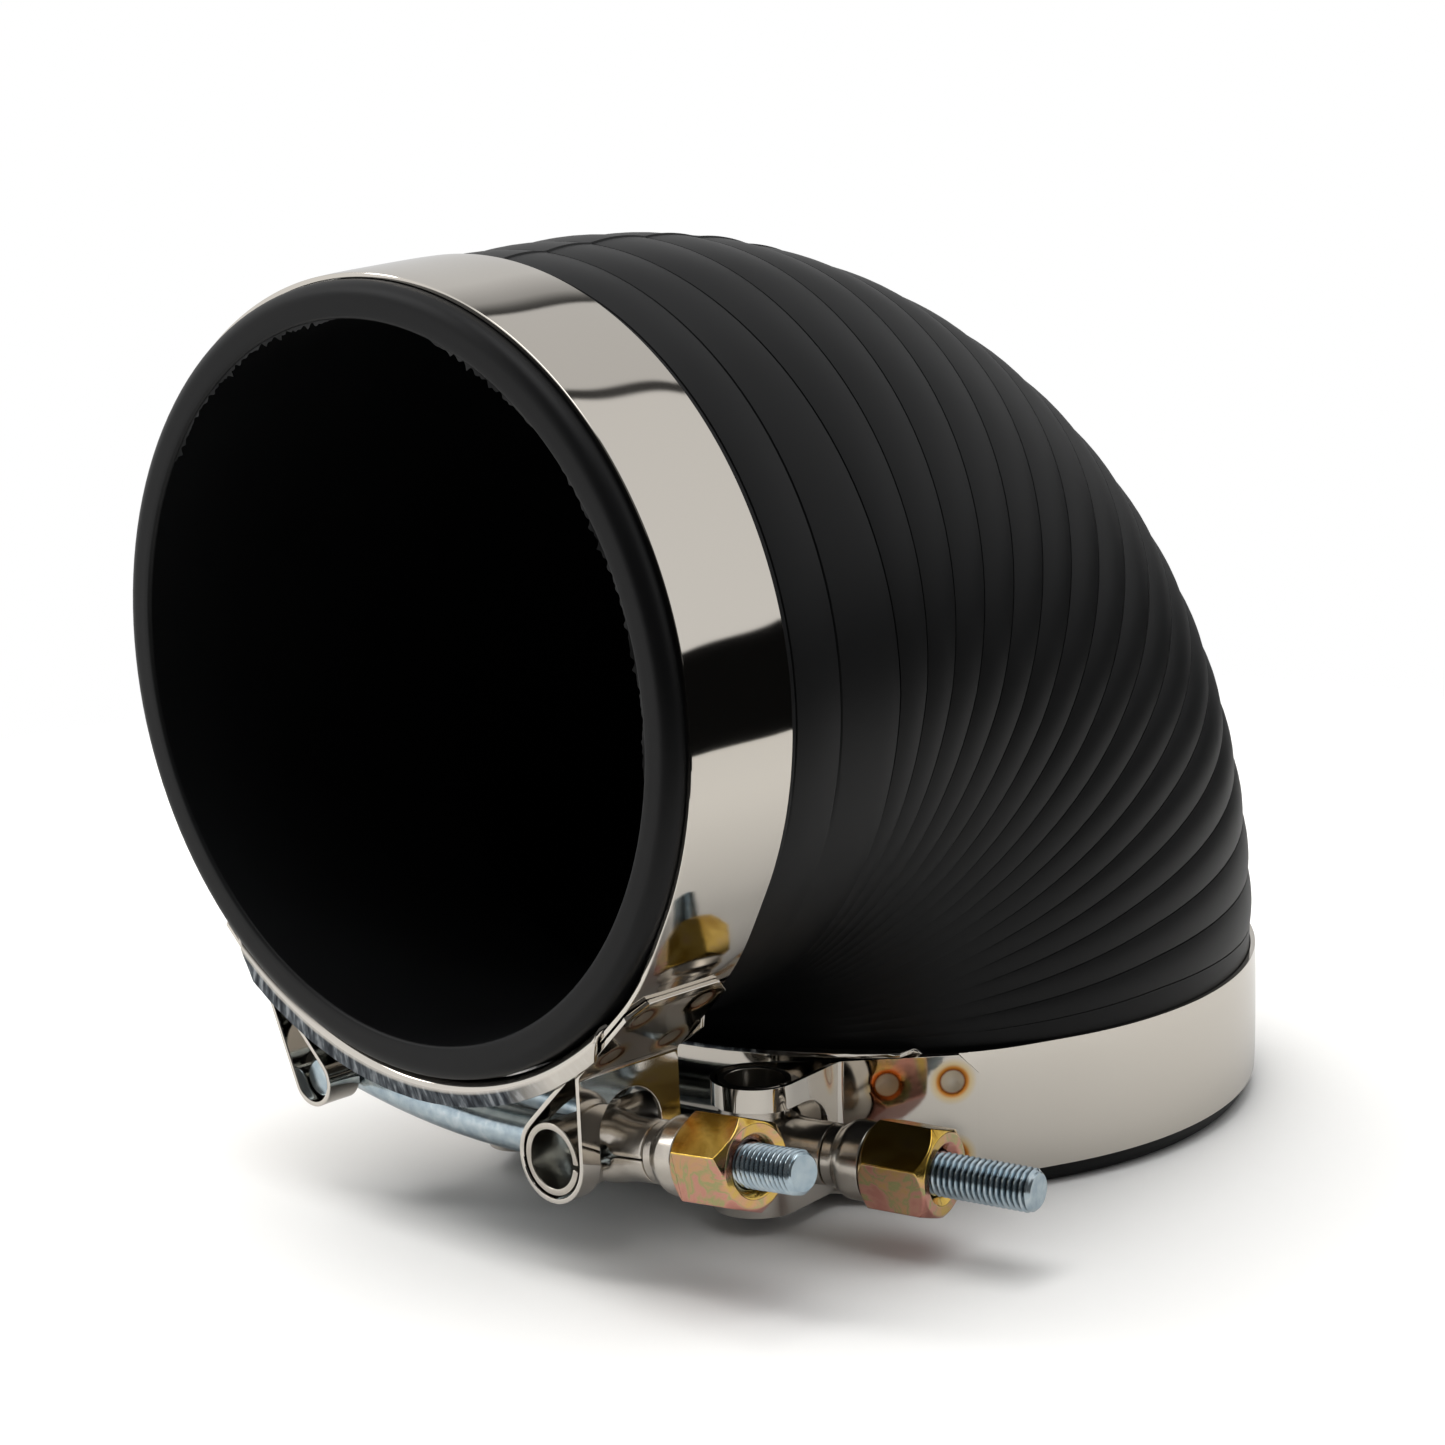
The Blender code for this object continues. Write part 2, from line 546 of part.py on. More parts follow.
def clamp(side, frame, take_up, nut_turn, collection):
    """All pieces of one clamp, under the empty that carries it."""
    pivot = trunnion_pivot(take_up)
    at_trunnion = Matrix.Translation((pivot.x, pivot.y, 0.0))
    at_neck = at_trunnion @ ALONG_BOLT @ Matrix.Translation((0.0, 0.0, NECK_REACH + CONTACT_GAP))
    at_ferrule = at_neck @ Matrix.Translation((0.0, 0.0, FERRULE_LENGTH + CONTACT_GAP))
    at_ferrule = at_ferrule @ Matrix.Rotation(nut_turn, 4, "Z")
    place(f"{side}_clamp_band", band_mesh(take_up), collection, frame, "polished_stainless")
    place(f"{side}_bridge_plate", plate_mesh(), collection, frame, "polished_stainless")
    place(f"{side}_t_bolt", bolt_mesh(take_up), collection, frame, "blue_zinc")
    place(f"{side}_trunnion", trunnion_mesh(), collection, frame, "rolled_stainless", at_trunnion)
    place(f"{side}_ferrule", ferrule_mesh(), collection, frame, "rolled_stainless", at_neck)
    place(f"{side}_lock_nut", nut_mesh(), collection, frame, "yellow_zinc", at_ferrule)


def empty(name, matrix, collection, parent=None):
    """Empty that carries other objects."""
    made = bpy.data.objects.new(name, None)
    collection.objects.link(made)
    made.parent = parent
    made.matrix_local = matrix
    return made


def box_bottom_centre(collection):
    """Middle of the underside of the box round every mesh in the collection."""
    bpy.context.view_layer.update()
    corners = [piece.matrix_world @ Vector(v.co) for piece in collection.objects
               if piece.type == "MESH" for v in piece.data.vertices]
    low = [min(c[i] for c in corners) for i in range(3)]
    high = [max(c[i] for c in corners) for i in range(3)]
    return Vector(((low[0] + high[0]) / 2, (low[1] + high[1]) / 2, low[2]))


def main():
    for old in list(bpy.data.objects):
        bpy.data.objects.remove(old)
    collection = bpy.data.collections.new("intake_coupler")
    bpy.context.scene.collection.children.link(collection)
    carrier = empty("coupler_frame", Matrix(), collection)
    place("elbow_hose", elbow_mesh(), collection, carrier, "moulded_rubber")
    front = Matrix.Translation((0.0, FRONT_BAND_Y, 0.0)) @ Matrix.Rotation(-FRONT_CLAMP_TURN, 4, "Y")
    front = front @ Matrix.Rotation(-QUARTER, 4, "X")
    lower = Matrix.Translation((0.0, 0.0, LOWER_BAND_Z)) @ Matrix.Rotation(LOWER_CLAMP_TURN, 4, "Z")
    lower = lower @ Matrix.Rotation(2 * QUARTER, 4, "X")
    front_frame = empty("front_clamp_frame", front, collection, carrier)
    lower_frame = empty("lower_clamp_frame", lower, collection, carrier)
    clamp("front", front_frame, FRONT_TAKE_UP, FRONT_NUT_TURN, collection)
    clamp("lower", lower_frame, LOWER_TAKE_UP, LOWER_NUT_TURN, collection)
    carrier.location = -box_bottom_centre(collection)
    bpy.context.view_layer.update()


main()
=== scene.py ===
import json
from math import acos, atan2, ceil, copysign, cos, hypot, pi, radians, sin, sqrt

import bpy
from mathutils import Matrix, Vector, noise


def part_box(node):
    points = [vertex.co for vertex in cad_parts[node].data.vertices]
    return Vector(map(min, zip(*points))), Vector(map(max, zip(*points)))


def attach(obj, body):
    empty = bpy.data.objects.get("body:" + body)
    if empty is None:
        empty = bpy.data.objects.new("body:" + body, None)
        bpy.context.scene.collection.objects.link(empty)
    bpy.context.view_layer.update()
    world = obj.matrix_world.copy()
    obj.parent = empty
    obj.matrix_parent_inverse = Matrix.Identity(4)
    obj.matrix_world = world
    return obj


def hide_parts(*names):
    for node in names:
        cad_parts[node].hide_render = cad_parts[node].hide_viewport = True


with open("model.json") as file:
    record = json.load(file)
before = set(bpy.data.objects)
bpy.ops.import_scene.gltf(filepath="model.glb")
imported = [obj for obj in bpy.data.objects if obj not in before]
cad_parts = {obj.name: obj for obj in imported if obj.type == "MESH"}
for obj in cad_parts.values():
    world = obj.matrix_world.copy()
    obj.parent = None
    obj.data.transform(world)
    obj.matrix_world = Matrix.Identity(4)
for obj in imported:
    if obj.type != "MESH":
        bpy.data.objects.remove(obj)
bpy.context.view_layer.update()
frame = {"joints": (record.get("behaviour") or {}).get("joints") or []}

# Ninety-degree rubber intake coupler with a stainless T-bolt clamp on each end.
# Lengths are in metres and angles in radians unless a name says otherwise.
joints = {joint["name"]: joint for joint in frame["joints"]}
mouthAxisAt = Vector(joints["front_clamp_turn"]["pos_m"])
lowerAxisAt = Vector(joints["lower_clamp_turn"]["pos_m"])
ductOrigin = Vector((mouthAxisAt.x, lowerAxisAt.y, mouthAxisAt.z))  # where the two ends' axes cross
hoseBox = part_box("elbow_hose")
quarter = pi / 2


def say(text):
    print("intake coupler:", text)


# Modelling helpers

def deselectAll():
    for chosen in list(bpy.context.selected_objects):
        chosen.select_set(False)


def makeActive(piece):
    deselectAll()
    piece.select_set(True)
    bpy.context.view_layer.objects.active = piece


def newPiece(name):
    piece = bpy.context.active_object
    piece.name = name
    piece.data.name = name
    makeActive(piece)
    return piece


def applyPlace():
    bpy.ops.object.transform_apply(location=True, rotation=True, scale=True)


def applyModifier(piece, kind, **settings):
    makeActive(piece)
    modifier = piece.modifiers.new(kind.lower(), kind)
    for key, value in settings.items():
        setattr(modifier, key, value)
    bpy.ops.object.modifier_apply(modifier=modifier.name)


def roundEdges(piece, width, segments, sharpDegrees):
    applyModifier(piece, "BEVEL", width=width, segments=segments, limit_method="ANGLE",
                  angle_limit=radians(sharpDegrees))


def editMesh(piece, *steps):
    # each step is a function that runs in edit mode with everything selected
    makeActive(piece)
    bpy.ops.object.mode_set(mode="EDIT")
    for step in steps:
        bpy.ops.mesh.select_all(action="SELECT")
        step()
    bpy.ops.object.mode_set(mode="OBJECT")


def mergeDoubles():
    bpy.ops.mesh.remove_doubles(threshold=0.000002)


def fixNormals():
    bpy.ops.mesh.normals_make_consistent(inside=False)


def fillHoles():
    bpy.ops.mesh.fill_holes(sides=0)


def moveMesh(piece, matrix):
    piece.data.transform(matrix)
    piece.data.update()


def mappedGrid(name, columns, rows, place):
    # a grid whose points are put in place by a function of their column and row
    bpy.ops.mesh.primitive_grid_add(x_subdivisions=columns, y_subdivisions=rows, size=1.0)
    piece = newPiece(name)
    for vertex in piece.data.vertices:
        column = round((vertex.co.x + 0.5) * columns)
        row = round((vertex.co.y + 0.5) * rows)
        vertex.co = place(column, row)
    return piece


def turnedPiece(name, profile, segments=72):
    # a ring that is pulled along a profile of (radius, height) points and joined to its start
    radius, height = profile[0]
    bpy.ops.mesh.primitive_circle_add(vertices=segments, radius=radius, location=(0, 0, 0))
    piece = newPiece(name)
    moveMesh(piece, Matrix.Translation((0, 0, height)))
    bpy.ops.object.mode_set(mode="EDIT")
    bpy.ops.mesh.select_all(action="SELECT")
    for nextRadius, nextHeight in profile[1:] + profile[:1]:
        bpy.ops.mesh.extrude_edges_move(TRANSFORM_OT_translate={"value": (0, 0, nextHeight - height)})
        scale = nextRadius / radius
        bpy.ops.transform.resize(value=(scale, scale, 1), center_override=(0, 0, nextHeight))
        radius, height = nextRadius, nextHeight
    bpy.ops.object.mode_set(mode="OBJECT")
    editMesh(piece, mergeDoubles, fixNormals)
    return piece


def joinPieces(pieces):
    makeActive(pieces[0])
    for piece in pieces[1:]:
        piece.select_set(True)
    bpy.ops.object.join()
    return bpy.context.active_object


def finishPiece(piece, body, node, material, sharpDegrees=35):
    # smooth shading, finish, and the CAD body and node that the piece belongs to
    makeActive(piece)
    applyPlace()
    bpy.ops.object.shade_smooth_by_angle(angle=radians(sharpDegrees))
    if material != rubber:   # keeps flat metal faces flat beside their rounded edges
        applyModifier(piece, "WEIGHTED_NORMAL", keep_sharp=True)
    piece.data.materials.clear()
    piece.data.materials.append(material)
    if node:
        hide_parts(node)
    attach(piece, body)
    return piece


# Material helpers

def linearColour(hexText):
    channels = [int(hexText[i:i + 2], 16) / 255 for i in (1, 3, 5)]
    return [c / 12.92 if c <= 0.04045 else ((c + 0.055) / 1.055) ** 2.4 for c in channels] + [1.0]


def link(tree, source, node, socket):
    # the source is an output, or a node whose first output in use is meant
    if isinstance(source, bpy.types.Node):
        source = next(output for output in source.outputs if output.enabled)
    tree.links.new(source, node.inputs[socket])


def addNode(tree, kind, inputs=None, stops=(), **settings):
    # one node with its settings, its ramp's stops, and its inputs: values, outputs or nodes
    node = tree.nodes.new("ShaderNode" + kind)
    for key, value in settings.items():
        setattr(node, key, value)
    for socket, value in (inputs or {}).items():
        if isinstance(value, (bpy.types.NodeSocket, bpy.types.Node)):
            link(tree, value, node, socket)
        else:
            node.inputs[socket].default_value = value
    if stops:
        elements = node.color_ramp.elements
        while len(elements) < len(stops):
            elements.new(0.5)
        for element, (position, colour) in zip(elements, stops):
            element.position = position
            element.color = linearColour(colour) if isinstance(colour, str) else (colour, colour, colour, 1)
    return node


def newMaterial(name):
    material = bpy.data.materials.new(name)
    material.use_nodes = True
    tree = material.node_tree
    return material, tree, tree.nodes["Principled BSDF"]


def wireShader(tree, shader, colour, roughness, height, bump, metallic=1.0):
    # the bump is its strength and its depth in metres
    raised = addNode(tree, "Bump", {"Height": height, "Strength": bump[0], "Distance": bump[1]})
    link(tree, colour, shader, "Base Color")
    link(tree, roughness, shader, "Roughness")
    link(tree, raised, shader, "Normal")
    shader.inputs["Metallic"].default_value = metallic


# Camera, at the photograph's viewing angle

view = {
    "azimuth": radians(45.25),
    "elevation": radians(14.76),
    "roll": radians(-1.01),
    "place": Vector((0.5528, -0.5810, 0.1870)),   # from the duct's origin
    "focalPixels": 5500.8,
    "framePixels": 1445,
    "sensorMillimetres": 36,
}


def addCamera():
    azimuth, elevation = view["azimuth"], view["elevation"]
    back = Vector((sin(azimuth) * cos(elevation), -cos(azimuth) * cos(elevation),
                   sin(elevation)))
    right = Vector((cos(azimuth), sin(azimuth), 0))
    turn = Matrix((right, back.cross(right), back)).transposed().to_4x4()
    bpy.ops.object.camera_add()
    camera = bpy.context.active_object
    camera.matrix_world = (Matrix.Translation(ductOrigin + view["place"]) @ turn
                           @ Matrix.Rotation(view["roll"], 4, "Z"))
    camera.data.lens = view["focalPixels"] / view["framePixels"] * view["sensorMillimetres"]
    camera.data.sensor_width = view["sensorMillimetres"]
    camera.data.clip_start = 0.01
    bpy.context.scene.camera = camera


addCamera()
say("camera placed")


# Finishes. A pattern's scale is in features a metre, so 1000 is about one a millimetre.

def mouldedRubber():
    # black EPDM rubber cured in a mould: satin, with a 0.2 mm grain, cure haze and a few pale specks
    material, tree, shader = newMaterial("mouldedRubber")
    place = addNode(tree, "TexCoord").outputs["Object"]
    grain = addNode(tree, "TexNoise", {"Vector": place, "Scale": 5200, "Detail": 3})
    haze = addNode(tree, "TexNoise", {"Vector": place, "Scale": 22, "Detail": 5, "Roughness": 0.6})
    specks = addNode(tree, "TexVoronoi", {"Vector": place, "Scale": 90})
    patches = addNode(tree, "TexNoise", {"Vector": place, "Scale": 14})
    tone = addNode(tree, "ValToRGB", {"Fac": haze}, [(0.3, "#070708"), (0.7, "#0c0d0e")])
    dust = addNode(tree, "ValToRGB", {"Fac": specks}, [(0.0, 1.0), (0.028, 0.0)])
    rare = addNode(tree, "ValToRGB", {"Fac": patches}, [(0.62, 0.0), (0.66, 1.0)])
    speck = addNode(tree, "Math", {0: dust, 1: rare}, operation="MULTIPLY")
    colour = addNode(tree, "Mix", {"Factor": speck, "A": tone, "B": linearColour("#4a4b4d")},
                     data_type="RGBA")
    gloss = addNode(tree, "MapRange", {"Value": haze, "To Min": 0.40, "To Max": 0.48})
    wireShader(tree, shader, colour, gloss, grain, (0.12, 0.00006), 0.0)
    shader.inputs["IOR"].default_value = 1.5
    shader.inputs["Specular IOR Level"].default_value = 0.21
    return material


def flatPlace(tree):
    # a place on the flat strip, how far it is along the strip and how far from its middle line
    flat = addNode(tree, "UVMap", uv_map="flatStrip")
    parts = addNode(tree, "SeparateXYZ", {"Vector": flat})
    across = addNode(tree, "Math", {0: parts.outputs["Y"]}, operation="ABSOLUTE")
    return flat, parts.outputs["X"], across


def polishedStrip(name, stripLength):
    # bright rolled stainless strip: mirror finish, rolling lines 0.1 mm apart, heat rings round its welds
    material, tree, shader = newMaterial(name)
    flat, along, across = flatPlace(tree)
    fromEnd = addNode(tree, "Math", {0: stripLength, 1: along}, operation="SUBTRACT")
    nearEnd = addNode(tree, "Math", {0: along, 1: fromEnd}, operation="MINIMUM")
    folded = addNode(tree, "CombineXYZ", {"X": nearEnd, "Y": across})
    gaps = []
    for fromTip in band["weldsFromTip"]:
        spot = (fromTip, band["weldAcross"], 0)
        gaps.append(addNode(tree, "VectorMath", {0: folded, 1: spot}, operation="DISTANCE"))
    nearest = addNode(tree, "Math", {0: gaps[0], 1: gaps[1]}, operation="MINIMUM")
    heat = addNode(tree, "MapRange", {"Value": nearest, "From Max": band["heatReach"]})
    tint = addNode(tree, "ValToRGB", {"Fac": heat},
                   [(0.0, "#c9bfb0"), (0.42, "#c4b49c"), (0.50, "#8a4a1c"), (0.60, "#c07d34"),
                    (0.72, "#d3bd92"), (1.0, "#d2ccc3")])
    rolling = addNode(tree, "Mapping", {"Vector": flat, "Scale": (60, 9000, 1)})
    lines = addNode(tree, "TexNoise", {"Vector": rolling, "Scale": 1, "Detail": 3})
    smudge = addNode(tree, "TexNoise", {"Vector": flat, "Scale": 130, "Detail": 4})
    blur = addNode(tree, "MapRange", {"Value": smudge, "To Min": 0.035, "To Max": 0.07})
    weldBlur = addNode(tree, "MapRange", {"Value": heat, "From Min": 0.45, "From Max": 0.62,
                                          "To Min": 0.34, "To Max": 0.0})
    roughness = addNode(tree, "Math", {0: blur, 1: weldBlur}, operation="MAXIMUM")
    wireShader(tree, shader, tint, roughness, lines, (0.05, 0.00002))
    return material


def rolledStainless():
    # stainless sheet rolled in a press: satin, with 0.4 mm grit and darker handling haze
    material, tree, shader = newMaterial("rolledStainless")
    place = addNode(tree, "TexCoord").outputs["Object"]
    haze = addNode(tree, "TexNoise", {"Vector": place, "Scale": 240, "Detail": 5})
    grit = addNode(tree, "TexNoise", {"Vector": place, "Scale": 2600, "Detail": 2})
    tone = addNode(tree, "ValToRGB", {"Fac": haze}, [(0.3, "#b3aca2"), (0.7, "#cdc6bc")])
    gloss = addNode(tree, "MapRange", {"Value": haze, "To Min": 0.16, "To Max": 0.30})
    wireShader(tree, shader, tone, gloss, grit, (0.10, 0.00004))
    return material


def blueZinc():
    # clear zinc plating on rolled thread: cool white with cloudy patches, and painted shade that darkens the
    # thread's valleys
    material, tree, shader = newMaterial("blueZinc")
    place = addNode(tree, "TexCoord").outputs["Object"]
    paintedValleyShade = addNode(tree, "Attribute", attribute_name="paintedValleyShade").outputs["Fac"]
    cloud = addNode(tree, "TexNoise", {"Vector": place, "Scale": 520, "Detail": 5})
    pits = addNode(tree, "TexNoise", {"Vector": place, "Scale": 2400, "Detail": 3})
    tone = addNode(tree, "ValToRGB", {"Fac": cloud},
                   [(0.3, "#9fb1bc"), (0.55, "#b9c8d0"), (0.75, "#d3dde2")])
    # painted shade: the deeper a point lies in the thread, the darker grey it is painted
    groove = addNode(tree, "ValToRGB", {"Fac": paintedValleyShade}, [(0.35, 0.0), (0.85, 0.9)])
    paintedShadeThread = addNode(tree, "Mix", {"Factor": groove, "A": tone, "B": linearColour("#445058")},
                       data_type="RGBA")
    gloss = addNode(tree, "MapRange", {"Value": cloud, "To Min": 0.16, "To Max": 0.30})
    wireShader(tree, shader, paintedShadeThread, gloss, pits, (0.08, 0.00006))
    return material


def yellowZinc():
    # chromated zinc plating: gold that drifts through pink, copper and green, with a painted shade that
    # leans its hue by which way a face points
    material, tree, shader = newMaterial("yellowZinc")
    place = addNode(tree, "TexCoord").outputs["Object"]
    normal = addNode(tree, "NewGeometry").outputs["Normal"]
    drift = addNode(tree, "TexNoise", {"Vector": place, "Scale": 150, "Detail": 4,
                                       "Roughness": 0.55, "Distortion": 0.8})
    grit = addNode(tree, "TexNoise", {"Vector": place, "Scale": 2000, "Detail": 3})
    # painted shade: the hue leans with which way a face points, a darker gold facing up and pink facing down
    paintedShadeUpward = addNode(tree, "SeparateXYZ", {"Vector": normal}).outputs["Z"]
    lean = addNode(tree, "Math", {0: paintedShadeUpward, 1: 0.26, 2: -0.03}, operation="MULTIPLY_ADD")
    phase = addNode(tree, "Math", {0: drift, 1: lean}, operation="ADD")
    tone = addNode(tree, "ValToRGB", {"Fac": phase},
                   [(0.30, "#c88a7c"), (0.41, "#d59c88"), (0.455, "#a9ad76"), (0.49, "#d3a381"),
                    (0.56, "#cfae68"), (0.64, "#d8b65c"), (0.78, "#b08a35")])
    gloss = addNode(tree, "MapRange", {"Value": drift, "To Min": 0.10, "To Max": 0.22})
    wireShader(tree, shader, tone, gloss, grit, (0.2, 0.00005))
    return material


def pressedPlate():
    # the bridge plate's polished strip, dulled and scored where its flanges were pressed up; the flanges'
    # dark greys are painted reflection
    material, tree, shader = newMaterial("pressedPlate")
    flat, along, across = flatPlace(tree)
    bendEnd = plate["flangeMiddle"] + plate["bend"] * (quarter - 1)
    upright = addNode(tree, "MapRange", {"Value": across, "From Min": bendEnd - 0.0003,
                                         "From Max": bendEnd + 0.0002})
    marked = addNode(tree, "MapRange", {
        "Value": along, "From Min": plate["marksEnd"],
        "From Max": plate["marksEnd"] + plate["marksFade"], "To Min": 1.0, "To Max": 0.15})
    onFlange = addNode(tree, "Math", {0: upright, 1: marked}, operation="MULTIPLY")
    scored = addNode(tree, "Mapping", {"Vector": flat, "Rotation": (0, 0, 0.4),
                                       "Scale": (1 / 1100, 1 / 260, 1)}, vector_type="TEXTURE")
    marks = addNode(tree, "TexNoise", {"Vector": scored, "Scale": 1, "Detail": 4})
    # painted reflection: the press marks are drawn in dark greys that stand in for dark reflections on the
    # flanges
    pressMarksAndPaintedReflection = addNode(tree, "ValToRGB", {"Fac": marks},
                      [(0.36, "#2a2d32"), (0.52, "#50555a"), (0.66, "#8d9195")])
    tone = addNode(tree, "Mix", {"Factor": onFlange, "A": linearColour("#d2ccc3"), "B": pressMarksAndPaintedReflection},
                   data_type="RGBA")
    dull = addNode(tree, "MapRange", {"Value": marks, "To Min": 0.16, "To Max": 0.30})
    gloss = addNode(tree, "Mix", {"Factor": onFlange, "A": 0.06, "B": dull})
    height = addNode(tree, "Math", {0: marks, 1: onFlange}, operation="MULTIPLY")
    wireShader(tree, shader, tone, gloss, height, (0.35, 0.00012))
    return material


# Rubber elbow: one grid wrapped round the duct, from the bore round the lips to the scalloped outside

hose = {
    "boreRadius": 0.0508,
    "outerRadius": 0.0560,
    "bendRadius": 0.0573,
    "lipRound": 0.0022,
    "boreRound": 0.0006,
    "lipLength": 0.0030,
    "bandWidth": 0.0190,
    "grooveMargin": 0.0016,
    "scallopHeight": 0.00036,
    "scallopsOnLeg": 2,
    "scallopsOnBend": 17,
    "leanAngle": radians(3.0),
    "leanZero": radians(57.0),
    "fadeStart": radians(80.0),
    "fadeEnd": radians(150.0),
    "creaseDepth": 0.00036,
    "creaseSteps": (0.00017, 0.00042),   # along the outermost line, either side of a groove
    "creaseStart": radians(90.0),   # a crease is whole up to here, round the duct
    "creaseEnd": radians(112.0),
    "creaseLater": radians(12.0),   # and how much further it runs at the lower end
    "partingHeight": 0.00022,
    "partingDegrees": (0.14, 0.42, 0.9),   # the bead's flat top, its foot and the next column
    "columnDegrees": 2.5,
    "boreRows": 40,
    "seatRows": (0.0060, 0.0130),   # from the end face, under the band
    "scallopRows": 9,
    "boreRoundRows": 4,
    "flatRows": (0.35, 0.7),        # shares of the end face
    "lipRoundRows": 8,
}
outerLine = hose["bendRadius"] + hose["outerRadius"]
bendLength = outerLine * quarter
mouthStation = hose["bendRadius"] - (ductOrigin.y - hoseBox[0][1])
lowerStation = bendLength + (ductOrigin.z - hoseBox[0][2]) - hose["bendRadius"]
bandReach = hose["lipLength"] + hose["bandWidth"]
firstGroove = mouthStation + bandReach + hose["grooveMargin"]
lastGroove = lowerStation - bandReach - hose["grooveMargin"]


def ductPoint(station, around, radius):
    # a station is a distance along the outermost line; around is 0 on that line
    angle = min(max(station, 0.0), bendLength) / outerLine
    outward = Vector((0.0, sin(angle), cos(angle)))
    centre = Vector((0.0, -1.0, -1.0)) * hose["bendRadius"] + hose["bendRadius"] * outward
    centre.y += min(station, 0.0)
    centre.z -= max(station - bendLength, 0.0)
    sideways = Vector((1.0, 0.0, 0.0))
    return ductOrigin + centre + radius * (cos(around) * outward + sin(around) * sideways)


def smoothShare(share):
    share = min(1.0, max(0.0, share))
    return share * share * (3.0 - 2.0 * share)


def scallopFade(around):
    span = hose["fadeEnd"] - hose["fadeStart"]
    return smoothShare((hose["fadeEnd"] - abs(around)) / span)


def creaseFade(station, around):
    later = hose["creaseLater"] * station / lastGroove
    span = hose["creaseEnd"] - hose["creaseStart"]
    return smoothShare((hose["creaseEnd"] + later - abs(around)) / span)


def leaningStation(station, around):
    pitch = -firstGroove / hose["scallopsOnLeg"]
    ramp = min(1.0, max(0.0, 1.0 + station / pitch))
    lean = hose["leanAngle"] * cos(station / outerLine * quarter / hose["leanZero"])
    return station + ramp * lean * outerLine * (1.0 - cos(min(abs(around), quarter)))


def outerRows():
    # (station, scallop height, crease depth) along the outside
    legCount, bendCount = hose["scallopsOnLeg"], hose["scallopsOnBend"]
    scallopRows = hose["scallopRows"]
    grooves = [firstGroove * (1 - i / legCount) for i in range(legCount)]
    grooves += [lastGroove * i / bendCount for i in range(bendCount + 1)]
    rows = [(grooves[0] - offset, 0.0, 0.0) for offset in reversed(hose["creaseSteps"])]
    for start, end in zip(grooves, grooves[1:]):
        offsets = [0.0, *hose["creaseSteps"]]
        offsets += [(end - start) * i / scallopRows for i in range(1, scallopRows)]
        offsets += [end - start - offset for offset in reversed(hose["creaseSteps"])]
        for offset in offsets:
            share = offset / (end - start)
            depth = hose["creaseDepth"] if offset == 0.0 else 0.0
            rows.append((start + offset, hose["scallopHeight"] * 4.0 * share * (1.0 - share), depth))
    rows.append((grooves[-1], 0.0, hose["creaseDepth"]))
    rows += [(grooves[-1] + offset, 0.0, 0.0) for offset in hose["creaseSteps"]]
    return rows


def lipRows():
    # (distance from the end face, radius) from the bore round the lip of one end
    rows = []
    for i in range(hose["boreRoundRows"] + 1):
        angle = quarter * i / hose["boreRoundRows"]
        rows.append((hose["boreRound"] * (1.0 - sin(angle)),
                     hose["boreRadius"] + hose["boreRound"] * (1.0 - cos(angle))))
    flatStart, flatEnd = rows[-1][1], hose["outerRadius"] - hose["lipRound"]
    for share in hose["flatRows"]:
        rows.append((0.0, flatStart + (flatEnd - flatStart) * share))
    for i in range(hose["lipRoundRows"] + 1):
        angle = quarter * i / hose["lipRoundRows"]
        rows.append((hose["lipRound"] * (1.0 - cos(angle)),
                     hose["outerRadius"] - hose["lipRound"] * (1.0 - sin(angle))))
    return rows


def hoseColumns():
    # angles round the duct, closer together beside the parting line
    step = hose["columnDegrees"]
    angles = [-180 + step * i for i in range(int(360 / step) + 1)]
    angles += [sign * degrees for degrees in hose["partingDegrees"] for sign in (-1, 1)]
    return [radians(a) for a in sorted(angles)]


def partingBulge(around):
    # a bead where the two mould halves met, along the outermost line
    flatTop, foot = [radians(degrees) for degrees in hose["partingDegrees"][:2]]
    return hose["partingHeight"] * smoothShare((foot - abs(around)) / (foot - flatTop))


def addElbow():
    columns = hoseColumns()
    rows = []
    for i in range(hose["boreRows"] + 1):
        station = bendLength * (1 - i / hose["boreRows"])
        rows.append(lambda a, s=station: ductPoint(s, a, hose["boreRadius"]))
    for inset, radius in lipRows():
        rows.append(lambda a, i=inset, r=radius: ductPoint(mouthStation + i, a, r))
    for inset in (*hose["seatRows"], bandReach):
        rows.append(lambda a, i=inset: ductPoint(mouthStation + i, a, hose["outerRadius"]))
    for station, height, depth in outerRows():
        rows.append(lambda a, s=station, h=height, d=depth: ductPoint(
            leaningStation(s, a), a,
            hose["outerRadius"] + h * scallopFade(a) - d * creaseFade(s, a) + partingBulge(a)))
    for inset in (bandReach, *reversed(hose["seatRows"])):
        rows.append(lambda a, i=inset: ductPoint(lowerStation - i, a, hose["outerRadius"]))
    for inset, radius in reversed(lipRows()):
        rows.append(lambda a, i=inset, r=radius: ductPoint(lowerStation - i, a, r))
    rows.append(rows[0])
    piece = mappedGrid("rubberElbow", len(columns) - 1, len(rows) - 1,
                       lambda column, row: rows[row](columns[column]))
    editMesh(piece, mergeDoubles, fixNormals)
    return finishPiece(piece, "hose", "elbow_hose", rubber, 30)


flash = {
    "stretches": ((-62, -8), (12, 38), (44, 96)),   # degrees round the bore from its top
    "width": 0.0011,
    "thickness": 0.00016,
    "inset": 0.00045,
    "tears": 0.9,            # for each degree
    "endTaper": 12,
    "widths": (0.15, 1.5),   # shares of the width: the least, and how much more at most
    "curl": 0.35,
    "curlsPerDegree": 0.35,
    "rows": 3,
}


